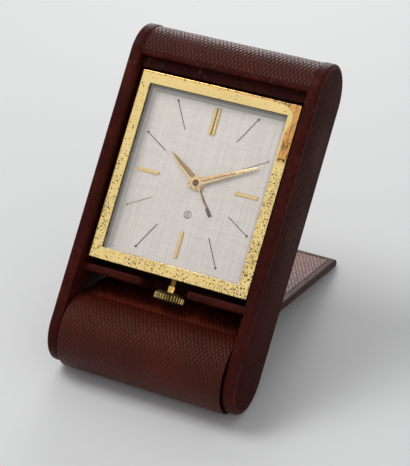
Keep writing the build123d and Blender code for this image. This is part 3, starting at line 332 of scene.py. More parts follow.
class Web:
    """Short calls for adding and joining nodes in a tree."""

    def __init__(self, tree):
        self.tree = tree

    def feed(self, socket, value):
        if isinstance(value, bpy.types.NodeSocket):
            self.tree.links.new(value, socket)
        else:
            socket.default_value = value

    def add(self, kind, values=(), **settings):
        """Adds a node with its settings and feeds its sockets, which are listed in order or named."""
        made = self.tree.nodes.new(kind)
        for label, value in settings.items():
            setattr(made, label, value)
        for key, value in values.items() if isinstance(values, dict) else enumerate(values):
            self.feed(made.inputs[key], value)
        return made

    def maths(self, operation, *values):
        return self.add("ShaderNodeMath", values, operation=operation).outputs[0]

    def times(self, *values):
        return self.maths("MULTIPLY", *values)

    def plus(self, *values):
        return self.maths("ADD", *values)

    def minus(self, *values):
        return self.maths("SUBTRACT", *values)

    def most(self, *values):
        return self.maths("MAXIMUM", *values)

    def absolute(self, value):
        return self.maths("ABSOLUTE", value)

    def noise(self, vector, scale, detail=2.0, roughness=0.5):
        values = {"Vector": vector, "Scale": scale, "Detail": detail, "Roughness": roughness}
        return self.add("ShaderNodeTexNoise", values).outputs["Fac"]

    def cells(self, vector, scale, **settings):
        return self.add("ShaderNodeTexVoronoi", {"Vector": vector, "Scale": scale}, **settings).outputs

    def ramp(self, value, low, high, start=0.0, end=1.0):
        values = (value, low, high, start, end)
        return self.add("ShaderNodeMapRange", values, interpolation_type="SMOOTHSTEP").outputs[0]

    def blend(self, factor, first, second):
        return self.add("ShaderNodeMix", {0: factor, 6: first, 7: second}, data_type="RGBA").outputs[2]

    def stretch(self, vector, scale, turn=(0, 0, 0)):
        return self.add("ShaderNodeMapping", {"Vector": vector, "Scale": scale, "Rotation": turn}).outputs[0]

    def vector(self, operation, *values):
        return self.add("ShaderNodeVectorMath", values, operation=operation).outputs

    def from_centre(self, place, centre):
        return self.vector("SUBTRACT", place, centre)[0]

    def along(self, vector, direction):
        return self.vector("DOT_PRODUCT", vector, direction)["Value"]

    def split(self, vector):
        return self.add("ShaderNodeSeparateXYZ", (vector,)).outputs

    def group(self, name, **values):
        return self.add("ShaderNodeGroup", values, node_tree=GROUPS[name]).outputs


def new_group(name, outputs, **inputs):
    """A shader group that reads a vector and some numbers; returns its web and its inner sockets."""
    group = bpy.data.node_groups.new(name, "ShaderNodeTree")
    group.interface.new_socket("Vector", in_out="INPUT", socket_type="NodeSocketVector")
    for label, value in inputs.items():
        socket = group.interface.new_socket(label, in_out="INPUT", socket_type="NodeSocketFloat")
        socket.default_value = value
    for label in outputs:
        group.interface.new_socket(label, in_out="OUTPUT", socket_type="NodeSocketFloat")
    GROUPS[name] = group
    web = Web(group)
    return web, web.add("NodeGroupInput").outputs, web.add("NodeGroupOutput").inputs


def lozenge_group():
    """Rows of small raised lozenges, as rolled into leather, on a map in millimetres."""
    web, entry, out = new_group("Lozenge grain", ("Height", "Groove"), Across=1.0, Along=1.0, Wander=0.05)
    parts = web.split(entry["Vector"])
    drift = web.noise(entry["Vector"], 0.35)
    shift = web.times(web.minus(drift, 0.5), entry["Wander"])
    across = web.maths("DIVIDE", parts[0], entry["Across"])
    along = web.plus(web.maths("DIVIDE", parts[1], entry["Along"]), shift)
    waves = [web.absolute(web.maths("SINE", web.times(run, math.pi)))
             for run in (web.plus(across, along), web.minus(across, along))]
    wave = web.times(*waves)
    uneven = web.ramp(web.noise(entry["Vector"], 1.3, 3.0), 0.25, 0.75, 0.82, 1.0)
    web.feed(out["Height"], web.times(web.maths("POWER", wave, 0.6), uneven))
    web.feed(out["Groove"], web.ramp(wave, 0.0, 0.32, 1.0, 0.0))


def pores_group():
    """Fine creases and pores of smooth leather, with a height and a mask of its darker hollows."""
    web, entry, out = new_group("Leather pores", ("Height", "Hollow"), Fineness=1500.0)
    cells = web.cells(entry["Vector"], entry["Fineness"], feature="DISTANCE_TO_EDGE")
    soft = web.noise(entry["Vector"], web.times(entry["Fineness"], 0.35), 4.0, 0.6)
    edge = web.ramp(cells["Distance"], 0.0, 0.12)
    web.feed(out["Height"], web.plus(web.times(edge, 0.35), soft))
    web.feed(out["Hollow"], web.ramp(soft, 0.42, 0.6, 1.0, 0.0))


def patina_group():
    """Slow changes of tone over a surface, with rubbed lighter places."""
    web, entry, out = new_group("Patina", ("Tone", "Rubbed"), Patch=60.0, Rub=0.5)
    broad = web.noise(entry["Vector"], entry["Patch"], 4.0, 0.55)
    drawn = web.stretch(entry["Vector"], (1.0, 0.35, 0.35))
    streak = web.noise(drawn, web.times(entry["Patch"], 6.0), 3.0, 0.6)
    web.feed(out["Tone"], web.ramp(broad, 0.3, 0.7))
    rubbed = web.ramp(web.plus(web.times(broad, 0.5), web.times(streak, 0.5)), 0.52, 0.68)
    web.feed(out["Rubbed"], web.times(rubbed, entry["Rub"]))


def tarnish_group():
    """Small dark pits of many sizes in gilt, a thin brown film and a faint net of scratches."""
    web, entry, out = new_group("Tarnish", ("Pits", "Film", "Scratch"), Amount=0.5, Size=1500.0)
    clumps = web.ramp(web.noise(entry["Vector"], 170.0, 3.0, 0.6), 0.35, 0.62, 0.40, 1.30)
    warp = web.add("ShaderNodeTexNoise", {"Vector": entry["Vector"], "Scale": 3500.0}).outputs["Color"]
    shifted = web.vector("MULTIPLY_ADD", warp, [0.28 * MM] * 3, entry["Vector"])[0]
    spots = []
    for factor, share, small, large in ((1.0, 0.85, 0.14, 0.42), (1.7, 0.95, 0.16, 0.46)):
        cells = web.cells(shifted, web.times(entry["Size"], factor))
        chance = web.split(cells["Color"])
        local = web.times(web.times(entry["Amount"], clumps), share)
        present = web.maths("LESS_THAN", chance[0], local)
        edge = web.minus(web.ramp(chance[1], 0.0, 1.0, small, large), cells["Distance"])
        spots.append(web.times(web.ramp(edge, -0.05, 0.06), present))
    web.feed(out["Pits"], web.most(*spots))
    film = web.ramp(web.noise(entry["Vector"], 240.0, 3.0, 0.6), 0.42, 0.72)
    web.feed(out["Film"], web.times(film, entry["Amount"]))
    lines = web.noise(web.stretch(entry["Vector"], (1.0, 0.03, 0.03), (0, 0, 0.5)), 7000.0, 1.0)
    cross = web.noise(web.stretch(entry["Vector"], (0.03, 1.0, 1.0), (0, 0, 0.3)), 6000.0, 1.0)
    web.feed(out["Scratch"], web.most(web.ramp(lines, 0.62, 0.72), web.ramp(cross, 0.64, 0.74)))


def linen_group():
    """Fine brushed threads, strong one way and weak the other, with a few dark specks."""
    web, entry, out = new_group("Linen brushing", ("Tone", "Height", "Specks"), Threads=2600.0)
    upright = web.noise(web.stretch(entry["Vector"], (1.0, 0.02, 0.02)), entry["Threads"], 4.0, 0.7)
    broad = web.noise(web.stretch(entry["Vector"], (1.0, 0.03, 0.03)), web.times(entry["Threads"], 0.2))
    level = web.noise(web.stretch(entry["Vector"], (0.03, 1.0, 1.0)), entry["Threads"], 3.0, 0.6)
    tone = web.plus(web.times(upright, 0.5), web.plus(web.times(level, 0.32), web.times(broad, 0.18)))
    web.feed(out["Tone"], web.ramp(tone, 0.36, 0.64))
    web.feed(out["Height"], tone)
    cells = web.cells(entry["Vector"], 420.0)
    small = web.ramp(cells["Distance"], 0.03, 0.07, 1.0, 0.0)
    chosen = web.maths("LESS_THAN", web.split(cells["Color"])[0], 0.10)
    web.feed(out["Specks"], web.times(small, chosen))


class Finish(Web):
    """A material with its shader and the object coordinates that its textures read."""

    def __init__(self, name):
        FINISH[name] = bpy.data.materials.new(name)
        FINISH[name].use_nodes = True
        super().__init__(FINISH[name].node_tree)
        self.shader = self.tree.nodes["Principled BSDF"]
        self.place = self.add("ShaderNodeTexCoord").outputs["Object"]

    def paint(self, **values):
        """Joins or sets the shader's sockets by their labels, with underscores for spaces."""
        for label, value in values.items():
            self.feed(self.shader.inputs[label.replace("_", " ")], value)

    def bump(self, height, strength, distance):
        values = {"Height": height, "Strength": strength, "Distance": distance}
        self.paint(Normal=self.add("ShaderNodeBump", values).outputs["Normal"])

    def patina(self, patch, rub):
        return self.group("Patina", Vector=self.place, Patch=patch, Rub=rub)


def opaque(colour, gain=1.0):
    return tuple(min(part * gain, 1.0) for part in colour) + (1.0,)


LEATHER_TINT = opaque((1.0, 0.68, 0.58))
# Colour of the scuffs and painted highlight near the top of the smooth leather
SCUFF_AND_HIGHLIGHT = opaque((0.24, 0.15, 0.12))
# Colours of the painted reflection on the bezel's upper right corner
ORANGE_REFLECTION = opaque((0.80, 0.35, 0.10))
REFLECTION_DARK_STREAK = opaque((0.16, 0.06, 0.015))
STAIN = opaque((0.07, 0.03, 0.01))
PALE_END = opaque((0.78, 0.63, 0.36))
BROWN_FILM = opaque((0.66, 0.40, 0.12))
PIT = opaque((0.060, 0.030, 0.008))
CROWN_DIRT = opaque((0.025, 0.014, 0.005))
DIAL_AGE = opaque((0.64, 0.57, 0.46))
SPECK = opaque((0.16, 0.13, 0.10))
LINE_DARK = opaque((0.042, 0.034, 0.024))
LINE_TAN = opaque((0.24, 0.17, 0.09))
LINE_PALE = opaque((0.36, 0.27, 0.15))
# Painted shade on the dial surround's top and left slopes, beside the dial and beside the bezel
SLOPE_SHADE_BY_DIAL = opaque((0.27, 0.253, 0.218))
SLOPE_SHADE_BY_BEZEL = opaque((0.105, 0.088, 0.060))


def grained_leather(name, colour, roughness, level):
    """Leather rolled with lozenges, with its roughness and its specular level."""
    web = Finish(name)
    grain = web.add("ShaderNodeUVMap", uv_map="grain").outputs[0]
    lozenge = web.group("Lozenge grain", Vector=grain, Across=1.38, Along=2.75, Wander=0.05)
    pores = web.group("Leather pores", Vector=web.place, Fineness=2600.0)
    patina = web.patina(55.0, 0.7)
    base = web.blend(patina["Tone"], opaque(colour, 0.82), opaque(colour, 1.18))
    base = web.blend(web.times(patina["Rubbed"], 0.5), base, opaque(colour, 1.75))
    # Painted shade: the grooves between the lozenges are darkened
    base = web.blend(web.times(lozenge["Groove"], 0.78), base, opaque(colour, 0.42))
    rough = web.plus(web.times(lozenge["Groove"], 0.22),
                     web.ramp(patina["Tone"], 0.0, 1.0, roughness + 0.08, roughness))
    web.paint(Base_Color=base, Roughness=rough, IOR=1.38, Specular_IOR_Level=level,
              Specular_Tint=LEATHER_TINT)
    web.bump(web.plus(lozenge["Height"], web.times(pores["Height"], 0.12)), 1.0, 0.27 * MM)


def smooth_leather(name, colour, rub=0.6):
    """Calf leather of rims and folds, rubbed along its high places, and lighter towards the top with scuffs and
    painted highlight.
    """
    web = Finish(name)
    pores = web.group("Leather pores", Vector=web.place, Fineness=1700.0)
    patina = web.patina(90.0, rub)
    base = web.blend(patina["Tone"], opaque(colour, 0.75), opaque(colour, 1.2))
    base = web.blend(patina["Rubbed"], base, opaque(colour, 2.1))
    base = web.blend(web.times(pores["Hollow"], 0.45), base, opaque(colour, 0.4))
    # Towards the top: lighter patches, partly scuffs and partly painted highlight
    high = web.ramp(web.split(web.place)[2], 75 * MM, 100 * MM, 0.0, 0.5)
    scuffs_and_highlight = web.ramp(web.noise(web.stretch(web.place, (1.0, 0.5, 0.5)), 500.0, 5.0, 0.65), 0.60, 0.70)
    web.paint(Base_Color=web.blend(web.times(scuffs_and_highlight, high), base, SCUFF_AND_HIGHLIGHT), IOR=1.3, Specular_IOR_Level=0.15,
              Roughness=web.ramp(pores["Height"], 0.3, 1.0, 0.5, 0.32), Specular_Tint=LEATHER_TINT)
    web.bump(pores["Height"], 0.5, 0.12 * MM)


def lining_cloth(name, colour):
    """Plain woven cloth."""
    web = Finish(name)
    values = {"Vector": web.place, "Scale": 700.0, "Distortion": 0.6}
    bands = [web.add("ShaderNodeTexWave", values, wave_type="BANDS", bands_direction=way).outputs["Fac"]
             for way in ("X", "Y")]
    weave = web.times(*bands)
    base = web.blend(weave, opaque(colour, 0.6), opaque(colour, 1.3))
    base = web.blend(web.patina(50.0, 0.4)["Rubbed"], base, opaque(colour, 1.8))
    web.paint(Base_Color=base, Roughness=web.ramp(weave, 0.0, 1.0, 0.95, 0.8))
    web.bump(weave, 0.5, 0.1 * MM)


def bezel_wear_and_reflection(web, base):
    """The bezel's own wear, where its pits gather, and a painted orange reflection with dark streaks over its
    upper right corner, with a stain.
    """
    across, _, height = web.split(web.place)
    rise = web.times(web.minus(height, CLOCK_CENTRE.z + 5.2 * MM), 1 / UPWARD.z)
    lower = web.ramp(rise, -18 * MM, 14 * MM, 0.72, 0.08)
    right = web.times(web.ramp(across, 22 * MM, 24 * MM, 0.0, 1.25),
                      web.ramp(rise, 7 * MM, 12 * MM, 1.0, 0.1))
    left = web.times(web.ramp(across, -25 * MM, -22 * MM, 1.0, 0.0),
                     web.ramp(rise, -10 * MM, 10 * MM, 1.05, 0.15))
    inner = web.ramp(rise, 21 * MM, 28 * MM, 24.4 * MM, 25.7 * MM)
    side = web.ramp(web.minus(across, inner), 0.0, 0.5 * MM)
    over = [web.most(web.minus(run, start), 0.0) for run, start in ((across, 20 * MM), (rise, 24 * MM))]
    bend = web.maths("SQRT", web.plus(*[web.times(run, run) for run in over]))
    corner = web.times(web.ramp(bend, 7.4 * MM, 7.8 * MM), 0.9)
    painted_reflection = web.times(web.most(side, corner), web.ramp(rise, 11 * MM, 16 * MM))
    reflection_streaks = web.noise(web.stretch(web.place, (1.0, 0.12, 0.12)), 1500.0, 3.0, 0.6)
    # Painted reflection: an orange band with dark streaks over the upper right corner
    base = web.blend(web.times(painted_reflection, 0.85), base, web.blend(web.ramp(reflection_streaks, 0.49, 0.62), ORANGE_REFLECTION, REFLECTION_DARK_STREAK))
    stain = web.ramp(web.absolute(web.minus(rise, 14.2 * MM)), 0.2 * MM, 0.7 * MM, 0.9, 0.0)
    stain = web.times(stain, web.ramp(web.noise(web.place, 900.0), 0.35, 0.5))
    stain = web.times(stain, web.ramp(across, 24.2 * MM, 24.8 * MM))
    return web.blend(stain, base, STAIN), web.most(lower, web.most(right, left))


def gilt(name, colour, amount, roughness, picked_out=False, paler_end=False):
    """Polished gilt brass with pits; the first flag adds the bezel's wear and its painted reflection, the second
    pales the minute hand's end.
    """
    web = Finish(name)
    base = web.blend(web.patina(80.0, 0.4)["Tone"], opaque(colour, 0.94), opaque(colour, 1.02))
    if paler_end:
        reach = web.along(web.from_centre(web.place, CLOCK_CENTRE), RIGHT)
        base = web.blend(web.ramp(reach, 7 * MM, 17 * MM, 0.0, 0.65), base, PALE_END)
    if picked_out:
        base, spread = bezel_wear_and_reflection(web, base)
        amount = web.times(spread, amount)
    tarnish = web.group("Tarnish", Vector=web.place, Amount=amount, Size=1500.0)
    base = web.blend(web.times(tarnish["Film"], 0.30), base, BROWN_FILM)
    base = web.blend(web.times(tarnish["Pits"], 0.94), base, PIT)
    rough = web.plus(web.times(tarnish["Scratch"], 0.12), web.ramp(tarnish["Pits"], 0.0, 1.0, roughness, 0.7))
    web.paint(Base_Color=base, Roughness=rough, Metallic=web.ramp(tarnish["Pits"], 0.0, 1.0, 1.0, 0.75))
    relief = web.minus(web.times(web.noise(web.place, 350.0), 0.6), web.times(tarnish["Pits"], 0.5))
    web.bump(relief, 0.25, 0.06 * MM)


def crown_gilt(name, colour):
    """Aged gilt of the crown, black with age in its grooves and over its top."""
    web = Finish(name)
    radius = local_box("crown", CROWN)[1].x
    arm = web.from_centre(web.place, CROWN_FOOT)
    rise = web.along(arm, UPWARD)
    lift = web.add("ShaderNodeVectorMath", {0: UPWARD, "Scale": rise}, operation="SCALE").outputs[0]
    reach = web.vector("LENGTH", web.from_centre(arm, lift))["Value"]
    hollow = web.ramp(reach, radius - 0.34 * MM, radius - 0.12 * MM, 1.0, 0.0)
    hollow = web.times(hollow, web.ramp(rise, 0.1 * MM, 0.5 * MM))
    tarnish = web.group("Tarnish", Vector=web.place, Amount=0.7, Size=1500.0)
    dark = web.most(web.times(hollow, 0.95), web.times(tarnish["Pits"], 0.7))
    web.paint(Base_Color=web.blend(dark, opaque(colour), CROWN_DIRT),
              Metallic=web.ramp(dark, 0.0, 1.0, 1.0, 0.8), Roughness=web.ramp(dark, 0.0, 1.0, 0.24, 0.6))


def silvered_dial(name, colour):
    """Silvered metal with linen brushing and a little age."""
    web = Finish(name)
    turned = web.stretch(web.place, (1.0, 1.0, 1.0), (LEAN, 0, 0))
    linen = web.group("Linen brushing", Vector=turned, Threads=4200.0)
    base = web.blend(linen["Tone"], opaque(colour, 0.82), opaque(colour, 1.12))
    base = web.blend(web.times(web.patina(45.0, 0.5)["Tone"], 0.16), base, DIAL_AGE)
    web.paint(Base_Color=web.blend(web.times(linen["Specks"], 0.6), base, SPECK), Metallic=0.35,
              Roughness=web.ramp(linen["Tone"], 0.0, 1.0, 0.44, 0.36))
    web.bump(linen["Height"], 0.3, 0.03 * MM)


def dark_print(name, colour):
    """Matt print with a faint mottle."""
    web = Finish(name)
    mottle = web.noise(web.place, 500.0, 3.0)
    web.paint(Base_Color=web.blend(mottle, opaque(colour, 0.85), opaque(colour, 1.12)),
              Roughness=web.ramp(mottle, 0.2, 0.8, 0.44, 0.56))


def worked_metal(name, colour, roughness):
    """Brushed or turned metal of the movement."""
    web = Finish(name)
    strokes = web.noise(web.stretch(web.place, (1.0, 0.05, 0.05)), 3500.0, 3.0, 0.6)
    base = web.blend(strokes, opaque(colour, 0.85), opaque(colour, 1.1))
    base = web.blend(web.times(web.patina(120.0, 0.4)["Tone"], 0.25), base, opaque(colour, 0.7))
    web.paint(Base_Color=base, Metallic=1.0,
              Roughness=web.ramp(strokes, 0.2, 0.8, roughness, roughness + 0.14))
    web.bump(strokes, 0.12, 0.04 * MM)


def surround(name, colour):
    """Sloping border of the dial, with painted shade along its top and left side, and painted shade that darkens
    every side towards the bezel.
    """
    web = Finish(name)
    outer = local_box("dial_surround", CLOCK)[1]
    inner = outer - Vector((1.75 * MM, 1.75 * MM, 0))
    arm = web.from_centre(web.place, CLOCK_CENTRE)
    across, along = web.along(arm, RIGHT), web.along(arm, UPWARD)
    # Painted shade: each slope darkens from the dial towards the bezel
    edge = web.most(*[web.ramp(web.absolute(run), inner[axis], outer[axis])
                      for axis, run in enumerate((across, along))])
    # Painted shade: the top and left slopes take the grey shade colours
    shaded_sides = web.most(web.ramp(across, -inner.x - 0.1 * MM, -inner.x, 1.0, 0.0),
                    web.ramp(along, inner.y, inner.y + 0.1 * MM))
    mottle = web.noise(web.place, 600.0, 3.0)
    edge = web.times(edge, web.ramp(mottle, 0.2, 0.8, 0.8, 1.0))
    light = web.blend(edge, opaque(colour, 0.84), opaque(colour, 0.46))
    web.paint(Base_Color=web.blend(shaded_sides, light, web.blend(edge, SLOPE_SHADE_BY_DIAL, SLOPE_SHADE_BY_BEZEL)), Metallic=0.35,
              Roughness=web.ramp(mottle, 0.2, 0.8, 0.48, 0.6))


def fine_lines(name):
    """Thin gilt lines, dark but for the pair at two and eight, which is tan."""
    web = Finish(name)
    arm = web.from_centre(web.place, CLOCK_CENTRE)
    beside = web.along(arm, 0.5 * RIGHT - 0.866 * UPWARD)
    picked_out = web.ramp(web.absolute(beside), 3 * MM, 13 * MM, 1.0, 0.0)
    picked_out = web.times(picked_out, web.ramp(web.along(arm, RIGHT), 4 * MM, 6 * MM, 1.0, 0.9))
    mottle = web.noise(web.place, 900.0)
    web.paint(Base_Color=web.blend(picked_out, LINE_DARK, web.blend(mottle, LINE_TAN, LINE_PALE)), Metallic=0.4,
              Roughness=web.ramp(mottle, 0.2, 0.8, 0.35, 0.5))


def board_or_wood(name, colour, grain):
    """Plain board or wood, whose fibres are stretched by its grain."""
    web = Finish(name)
    fibres = web.noise(web.stretch(web.place, grain), 900.0, 5.0, 0.65)
    web.paint(Base_Color=web.blend(fibres, opaque(colour, 0.75), opaque(colour, 1.2)),
              Roughness=web.ramp(fibres, 0.2, 0.8, 0.75, 0.92))
    web.bump(fibres, 0.3, 0.1 * MM)


def clear_glass(name):
    """Clear glass that lets the lamps through to what is behind it."""
    web = Finish(name)
    web.paint(Base_Color=opaque((0.97, 0.985, 0.98)), Transmission_Weight=1.0, IOR=1.5,
              Roughness=web.ramp(web.noise(web.place, 160.0, 3.0), 0.5, 0.8, 0.0, 0.03))
    shadow = web.add("ShaderNodeLightPath").outputs["Is Shadow Ray"]
    through = web.add("ShaderNodeBsdfTransparent").outputs[0]
    mixed = web.add("ShaderNodeMixShader", (shadow, web.shader.outputs[0], through)).outputs[0]
    web.feed(web.tree.nodes["Material Output"].inputs["Surface"], mixed)


SLOT_FINISHES = {
    "grained_leather": "Grained leather", "smooth_leather": "Smooth leather", "lining_cloth": "Lining cloth",
    "board": "Board", "wood_block": "Block wood", "gilt_brass": "Bezel gilt", "gilt_marks": "Mark gilt",
    "plain_brass": "Plain brass", "steel": "Ground steel", "spring_steel": "Spring steel",
    "plated_steel": "Nickel plate", "crystal": "Crystal", "surround_paint": "Surround paint",
    "silvered_dial": "Silvered dial", "dark_print": "Dial lines",
}
NODE_FINISHES = {
    # On the stem tube the darkened brass is painted shade
    "cannon_pinion": "Blackened steel", "centre_wheel": "Darkened brass", "stem_tube": "Darkened brass",
    # The upper rest and the drum's end discs take a darker copy of the smooth leather as painted shade
    "upper_rest": "Smooth leather in painted shade", "drum_end_discs": "Smooth leather in painted shade",
}
# Each hand's second gilt, the batons' second gilt and the shaded gilt are painted shade copies of the gilt beside
# them
GILTS = {
    "Bright gilt": ((0.86, 0.60, 0.32), 0.1, 0.18, False, True),
    "Painted shade gilt": ((0.42, 0.24, 0.10), 0.1, 0.22, False, True),
    "Pale gilt": ((0.66, 0.55, 0.37), 0.1, 0.25),
    "Shaded gilt": ((0.16, 0.12, 0.07), 0.1, 0.3),
    "Mark gilt": ((0.84, 0.60, 0.27), 0.12, 0.2),
    "Mark painted shade gilt": ((0.38, 0.21, 0.07), 0.12, 0.25),
    "Collar gilt": ((0.78, 0.46, 0.13), 0.1, 0.2),
}
METALS = {
    "Blackened steel": ((0.03, 0.028, 0.024), 0.45),
    # Darkened brass: on the stem tube it is painted shade
    "Darkened brass": ((0.22, 0.12, 0.035), 0.35),
    "Plain brass": ((0.62, 0.44, 0.17), 0.28),
    "Ground steel": ((0.50, 0.50, 0.51), 0.25),
    "Spring steel": ((0.10, 0.14, 0.30), 0.25),
    "Nickel plate": ((0.55, 0.54, 0.51), 0.22),
}


class CLOCK_OT_finishes(bpy.types.Operator):
    """Makes the finishes and puts them on the CAD nodes that stay"""

    bl_idname = "clock.finishes"
    bl_label = "Finishes"

    def execute(self, context):
        tones = context.scene.clock_finishes
        for make in (lozenge_group, pores_group, patina_group, tarnish_group, linen_group):
            make()
        grained_leather("Grained leather", tones.leather, 0.23, 0.28)
        # The cheeks' grained faces: a darker copy of the leather, as painted shade
        grained_leather("Cheek leather in painted shade", [part * 0.65 for part in tones.leather], 0.36, 0.03)
        # The panel: a brighter copy of the leather, as painted sheen
        grained_leather("Panel leather with painted sheen", [part * 2.3 for part in tones.leather], 0.26, 0.95)
        smooth_leather("Smooth leather", tones.smooth)
        # A darker copy of the smooth leather, as painted shade
        smooth_leather("Smooth leather in painted shade", [part * 0.55 for part in tones.smooth], rub=0.25)
        lining_cloth("Lining cloth", tones.lining)
        gilt("Bezel gilt", tones.gilt, 1.0, 0.13, picked_out=True)
        crown_gilt("Crown gilt", (0.44, 0.31, 0.11))
        for name, values in GILTS.items():
            gilt(name, *values)
        for name, values in METALS.items():
            worked_metal(name, *values)
        fine_lines("Dial lines")
        silvered_dial("Silvered dial", tones.dial)
        surround("Surround paint", tones.dial)
        dark_print("Dark print", (0.045, 0.036, 0.034))
        board_or_wood("Board", (0.28, 0.22, 0.14), (1.0, 1.0, 1.0))
        board_or_wood("Block wood", (0.30, 0.19, 0.09), (0.08, 1.0, 1.0))
        clear_glass("Crystal")
        for entry in frame["record"]["subparts"]:
            node, slot = entry["node"], entry["material_slot"]
            materials = frame["nodes"][node].data.materials
            materials.clear()
            materials.append(FINISH[NODE_FINISHES.get(node, SLOT_FINISHES[slot])])
        return {"FINISHED"}


class CLOCK_OT_cheeks(bpy.types.Operator):
    """Two cheeks: a grained outer face inside a smooth rim, and a smooth inner face"""

    bl_idname = "clock.cheeks"
    bl_label = "Cheeks"

    def execute(self, context):
        sizes = context.scene.clock_case
        low, high = local_box("right_cheek_leather", CHEEK)
        radius, span = (high.x - low.x) / 2, high.y - low.y - (high.x - low.x)
        for side, sign in (("left", -1), ("right", 1)):
            bm = bmesh.new()
            face = stadium_face(bm, radius, span, sign * low.z)
            outer = raise_faces(bm, face, (0, 0, sign * (high.z - low.z)))
            bevel(bm, outer[0].edges, sizes.rim, 5)
            top = extreme_face(bm, sign)
            inset(bm, top, (sizes.welt / 2, 0), (sizes.welt / 3, -sizes.welt_floor),
                  (sizes.welt / 2, sizes.welt_rise))
            top.material_index = 1
            grain_map(bm, lambda point: (point.x, GRAIN_SHARE * point.y))
            bevel(bm, edges_at(bm, 2, sign * low.z), sizes.inner_rim, 2)
            new_mesh_piece(f"{side}_cheek_skin", bm, CHEEK, "case", ("Smooth leather", "Cheek leather in painted shade"),
                           nodes=(f"{side}_cheek_leather",))

        bm = bmesh.new()
        near, far = abs(local_box("back_lining", CASE)[1].x), abs(low.z)
        for sign in (-1, 1):
            part = bmesh.new()
            face = stadium_face(part, radius, span, sign * far)
            raised = raise_faces(part, face, (0, 0, sign * (near - far)))
            bevel(part, raised[0].edges, sizes.lining_edge, 4)
            grain_map(part, lambda point: point.xy)
            mesh = bpy.data.meshes.new("inner")
            part.to_mesh(mesh)
            part.free()
            bm.from_mesh(mesh)
            bpy.data.meshes.remove(mesh)
        new_mesh_piece("cheek_inner_faces", bm, CHEEK, "case", ("Smooth leather",),
                       nodes=("cheek_linings",))
        return {"FINISHED"}


def swept(bm, points, width):
    """A strip through points in the plane across the case, drawn from side to side."""
    row = [bm.verts.new((-width / 2, *point)) for point in points]
    front = [bm.edges.new(pair) for pair in zip(row, row[1:])]
    for step in range(SWEEP_STEPS):
        front = drawn_out(bm, front, (width / SWEEP_STEPS, 0, 0))[0]


def arc(centre, radius, start, end, steps):
    """Points on an arc in the plane across the case, as height and depth."""
    found = []
    for step in range(steps + 1):
        angle = math.radians(start + (end - start) * step / steps)
        found.append((centre[0] + radius * math.sin(angle), centre[1] + radius * math.cos(angle)))
    return found


class CLOCK_OT_shell(bpy.types.Operator):
    """Leather over the rolled top and the back wall, with the smooth hem at its front"""

    bl_idname = "clock.shell"
    bl_label = "Roll and back"

    def execute(self, context):
        sizes = context.scene.clock_case
        low, high = local_box("shell_leather", CASE)
        radius = (high.z - low.z) / 2
        span = high.y - radius
        hem_low, hem_high = local_box("front_hem", CASE)
        start = math.degrees(math.asin((hem_high.y - span) / radius))
        points = arc((span, 0), radius, start, 180, ROLL_STEPS)
        points += [(span * (1 - share), -radius) for share in (0.25, 0.5, 0.75)]
        points += [(low.y + sizes.soft_edge, -radius)]
        bm = bmesh.new()
        swept(bm, points, high.x - low.x)
        bmesh.ops.recalc_face_normals(bm, faces=bm.faces)
        middle = Vector((0, span / 2, 0))
        if sum(face.normal.dot(face.calc_center_median() - middle) for face in bm.faces) < 0:
            bmesh.ops.reverse_faces(bm, faces=bm.faces)
        bmesh.ops.solidify(bm, geom=bm.faces, thickness=sizes.skin)

        def rule(point):
            if point.y > span:
                run = radius * math.atan2(point.y - span, point.z)
            elif point.z < 0:
                run = radius * math.pi + span - point.y
            else:
                run = point.y - span
            return point.x, GRAIN_SHARE * run

        grain_map(bm, rule)
        new_mesh_piece("roll_and_back_skin", bm, CASE, "case", ("Grained leather",),
                       nodes=("shell_leather",))

        bm = bmesh.new()
        made = block(bm, hem_low, hem_high)
        bevel(bm, edges_along(made, 0), sizes.soft_edge, 4)
        new_mesh_piece("front_hem_strip", bm, CASE, "case", ("Smooth leather",),
                       nodes=("front_hem",))
        return {"FINISHED"}


class CLOCK_OT_lips(bpy.types.Operator):
    """The two lower lips with the notch for the crown, in folded leather"""

    bl_idname = "clock.lips"
    bl_label = "Lower lips"

    def execute(self, context):
        sizes = context.scene.clock_case
        low, high = local_box("shelf_leather", CASE)
        corners = local_points("shelf_board", CASE)
        board_end = min(abs(corner.x) for corner in corners)
        rear = min(corner.z for corner in corners if abs(abs(corner.x) - board_end) < NEAR) + sizes.cover
        notch = board_end - sizes.cover
        columns, rows = (low.x, -notch, notch, high.x), (low.z, rear, high.z)
        bm = bmesh.new()
        bmesh.ops.create_grid(bm, x_segments=3, y_segments=2, size=1)
        for vertex in bm.verts:
            column, row = round((vertex.co.x + 1) * 1.5), round(vertex.co.y + 1)
            vertex.co = (columns[column], low.y, rows[row])
        gap = [face for face in bm.faces if abs(face.calc_center_median().x) < notch / 2
               and face.calc_center_median().z > rear]
        bmesh.ops.delete(bm, geom=gap, context="FACES")
        raise_faces(bm, list(bm.faces), (0, high.y - low.y, 0))
        bmesh.ops.dissolve_limit(bm, angle_limit=0.01, verts=bm.verts, edges=bm.edges)
        turns = [edge for edge in edges_along(bm.verts, 1)
                 if abs(abs(edge.verts[0].co.x) - notch) < TINY and edge.verts[0].co.z > high.z - TINY]
        bevel(bm, turns, sizes.lip_turn, 6)
        lips = [edge for edge in arrises(bm.edges) if all(vertex.co.z > rear + TINY for vertex in edge.verts)
                and abs(edge.verts[0].co.y - edge.verts[1].co.y) < TINY]
        bevel(bm, lips, sizes.lip_roll, 4)
        new_mesh_piece("lower_lips", bm, CASE, "case", ("Smooth leather",),
                       nodes=("shelf_leather",))
        return {"FINISHED"}


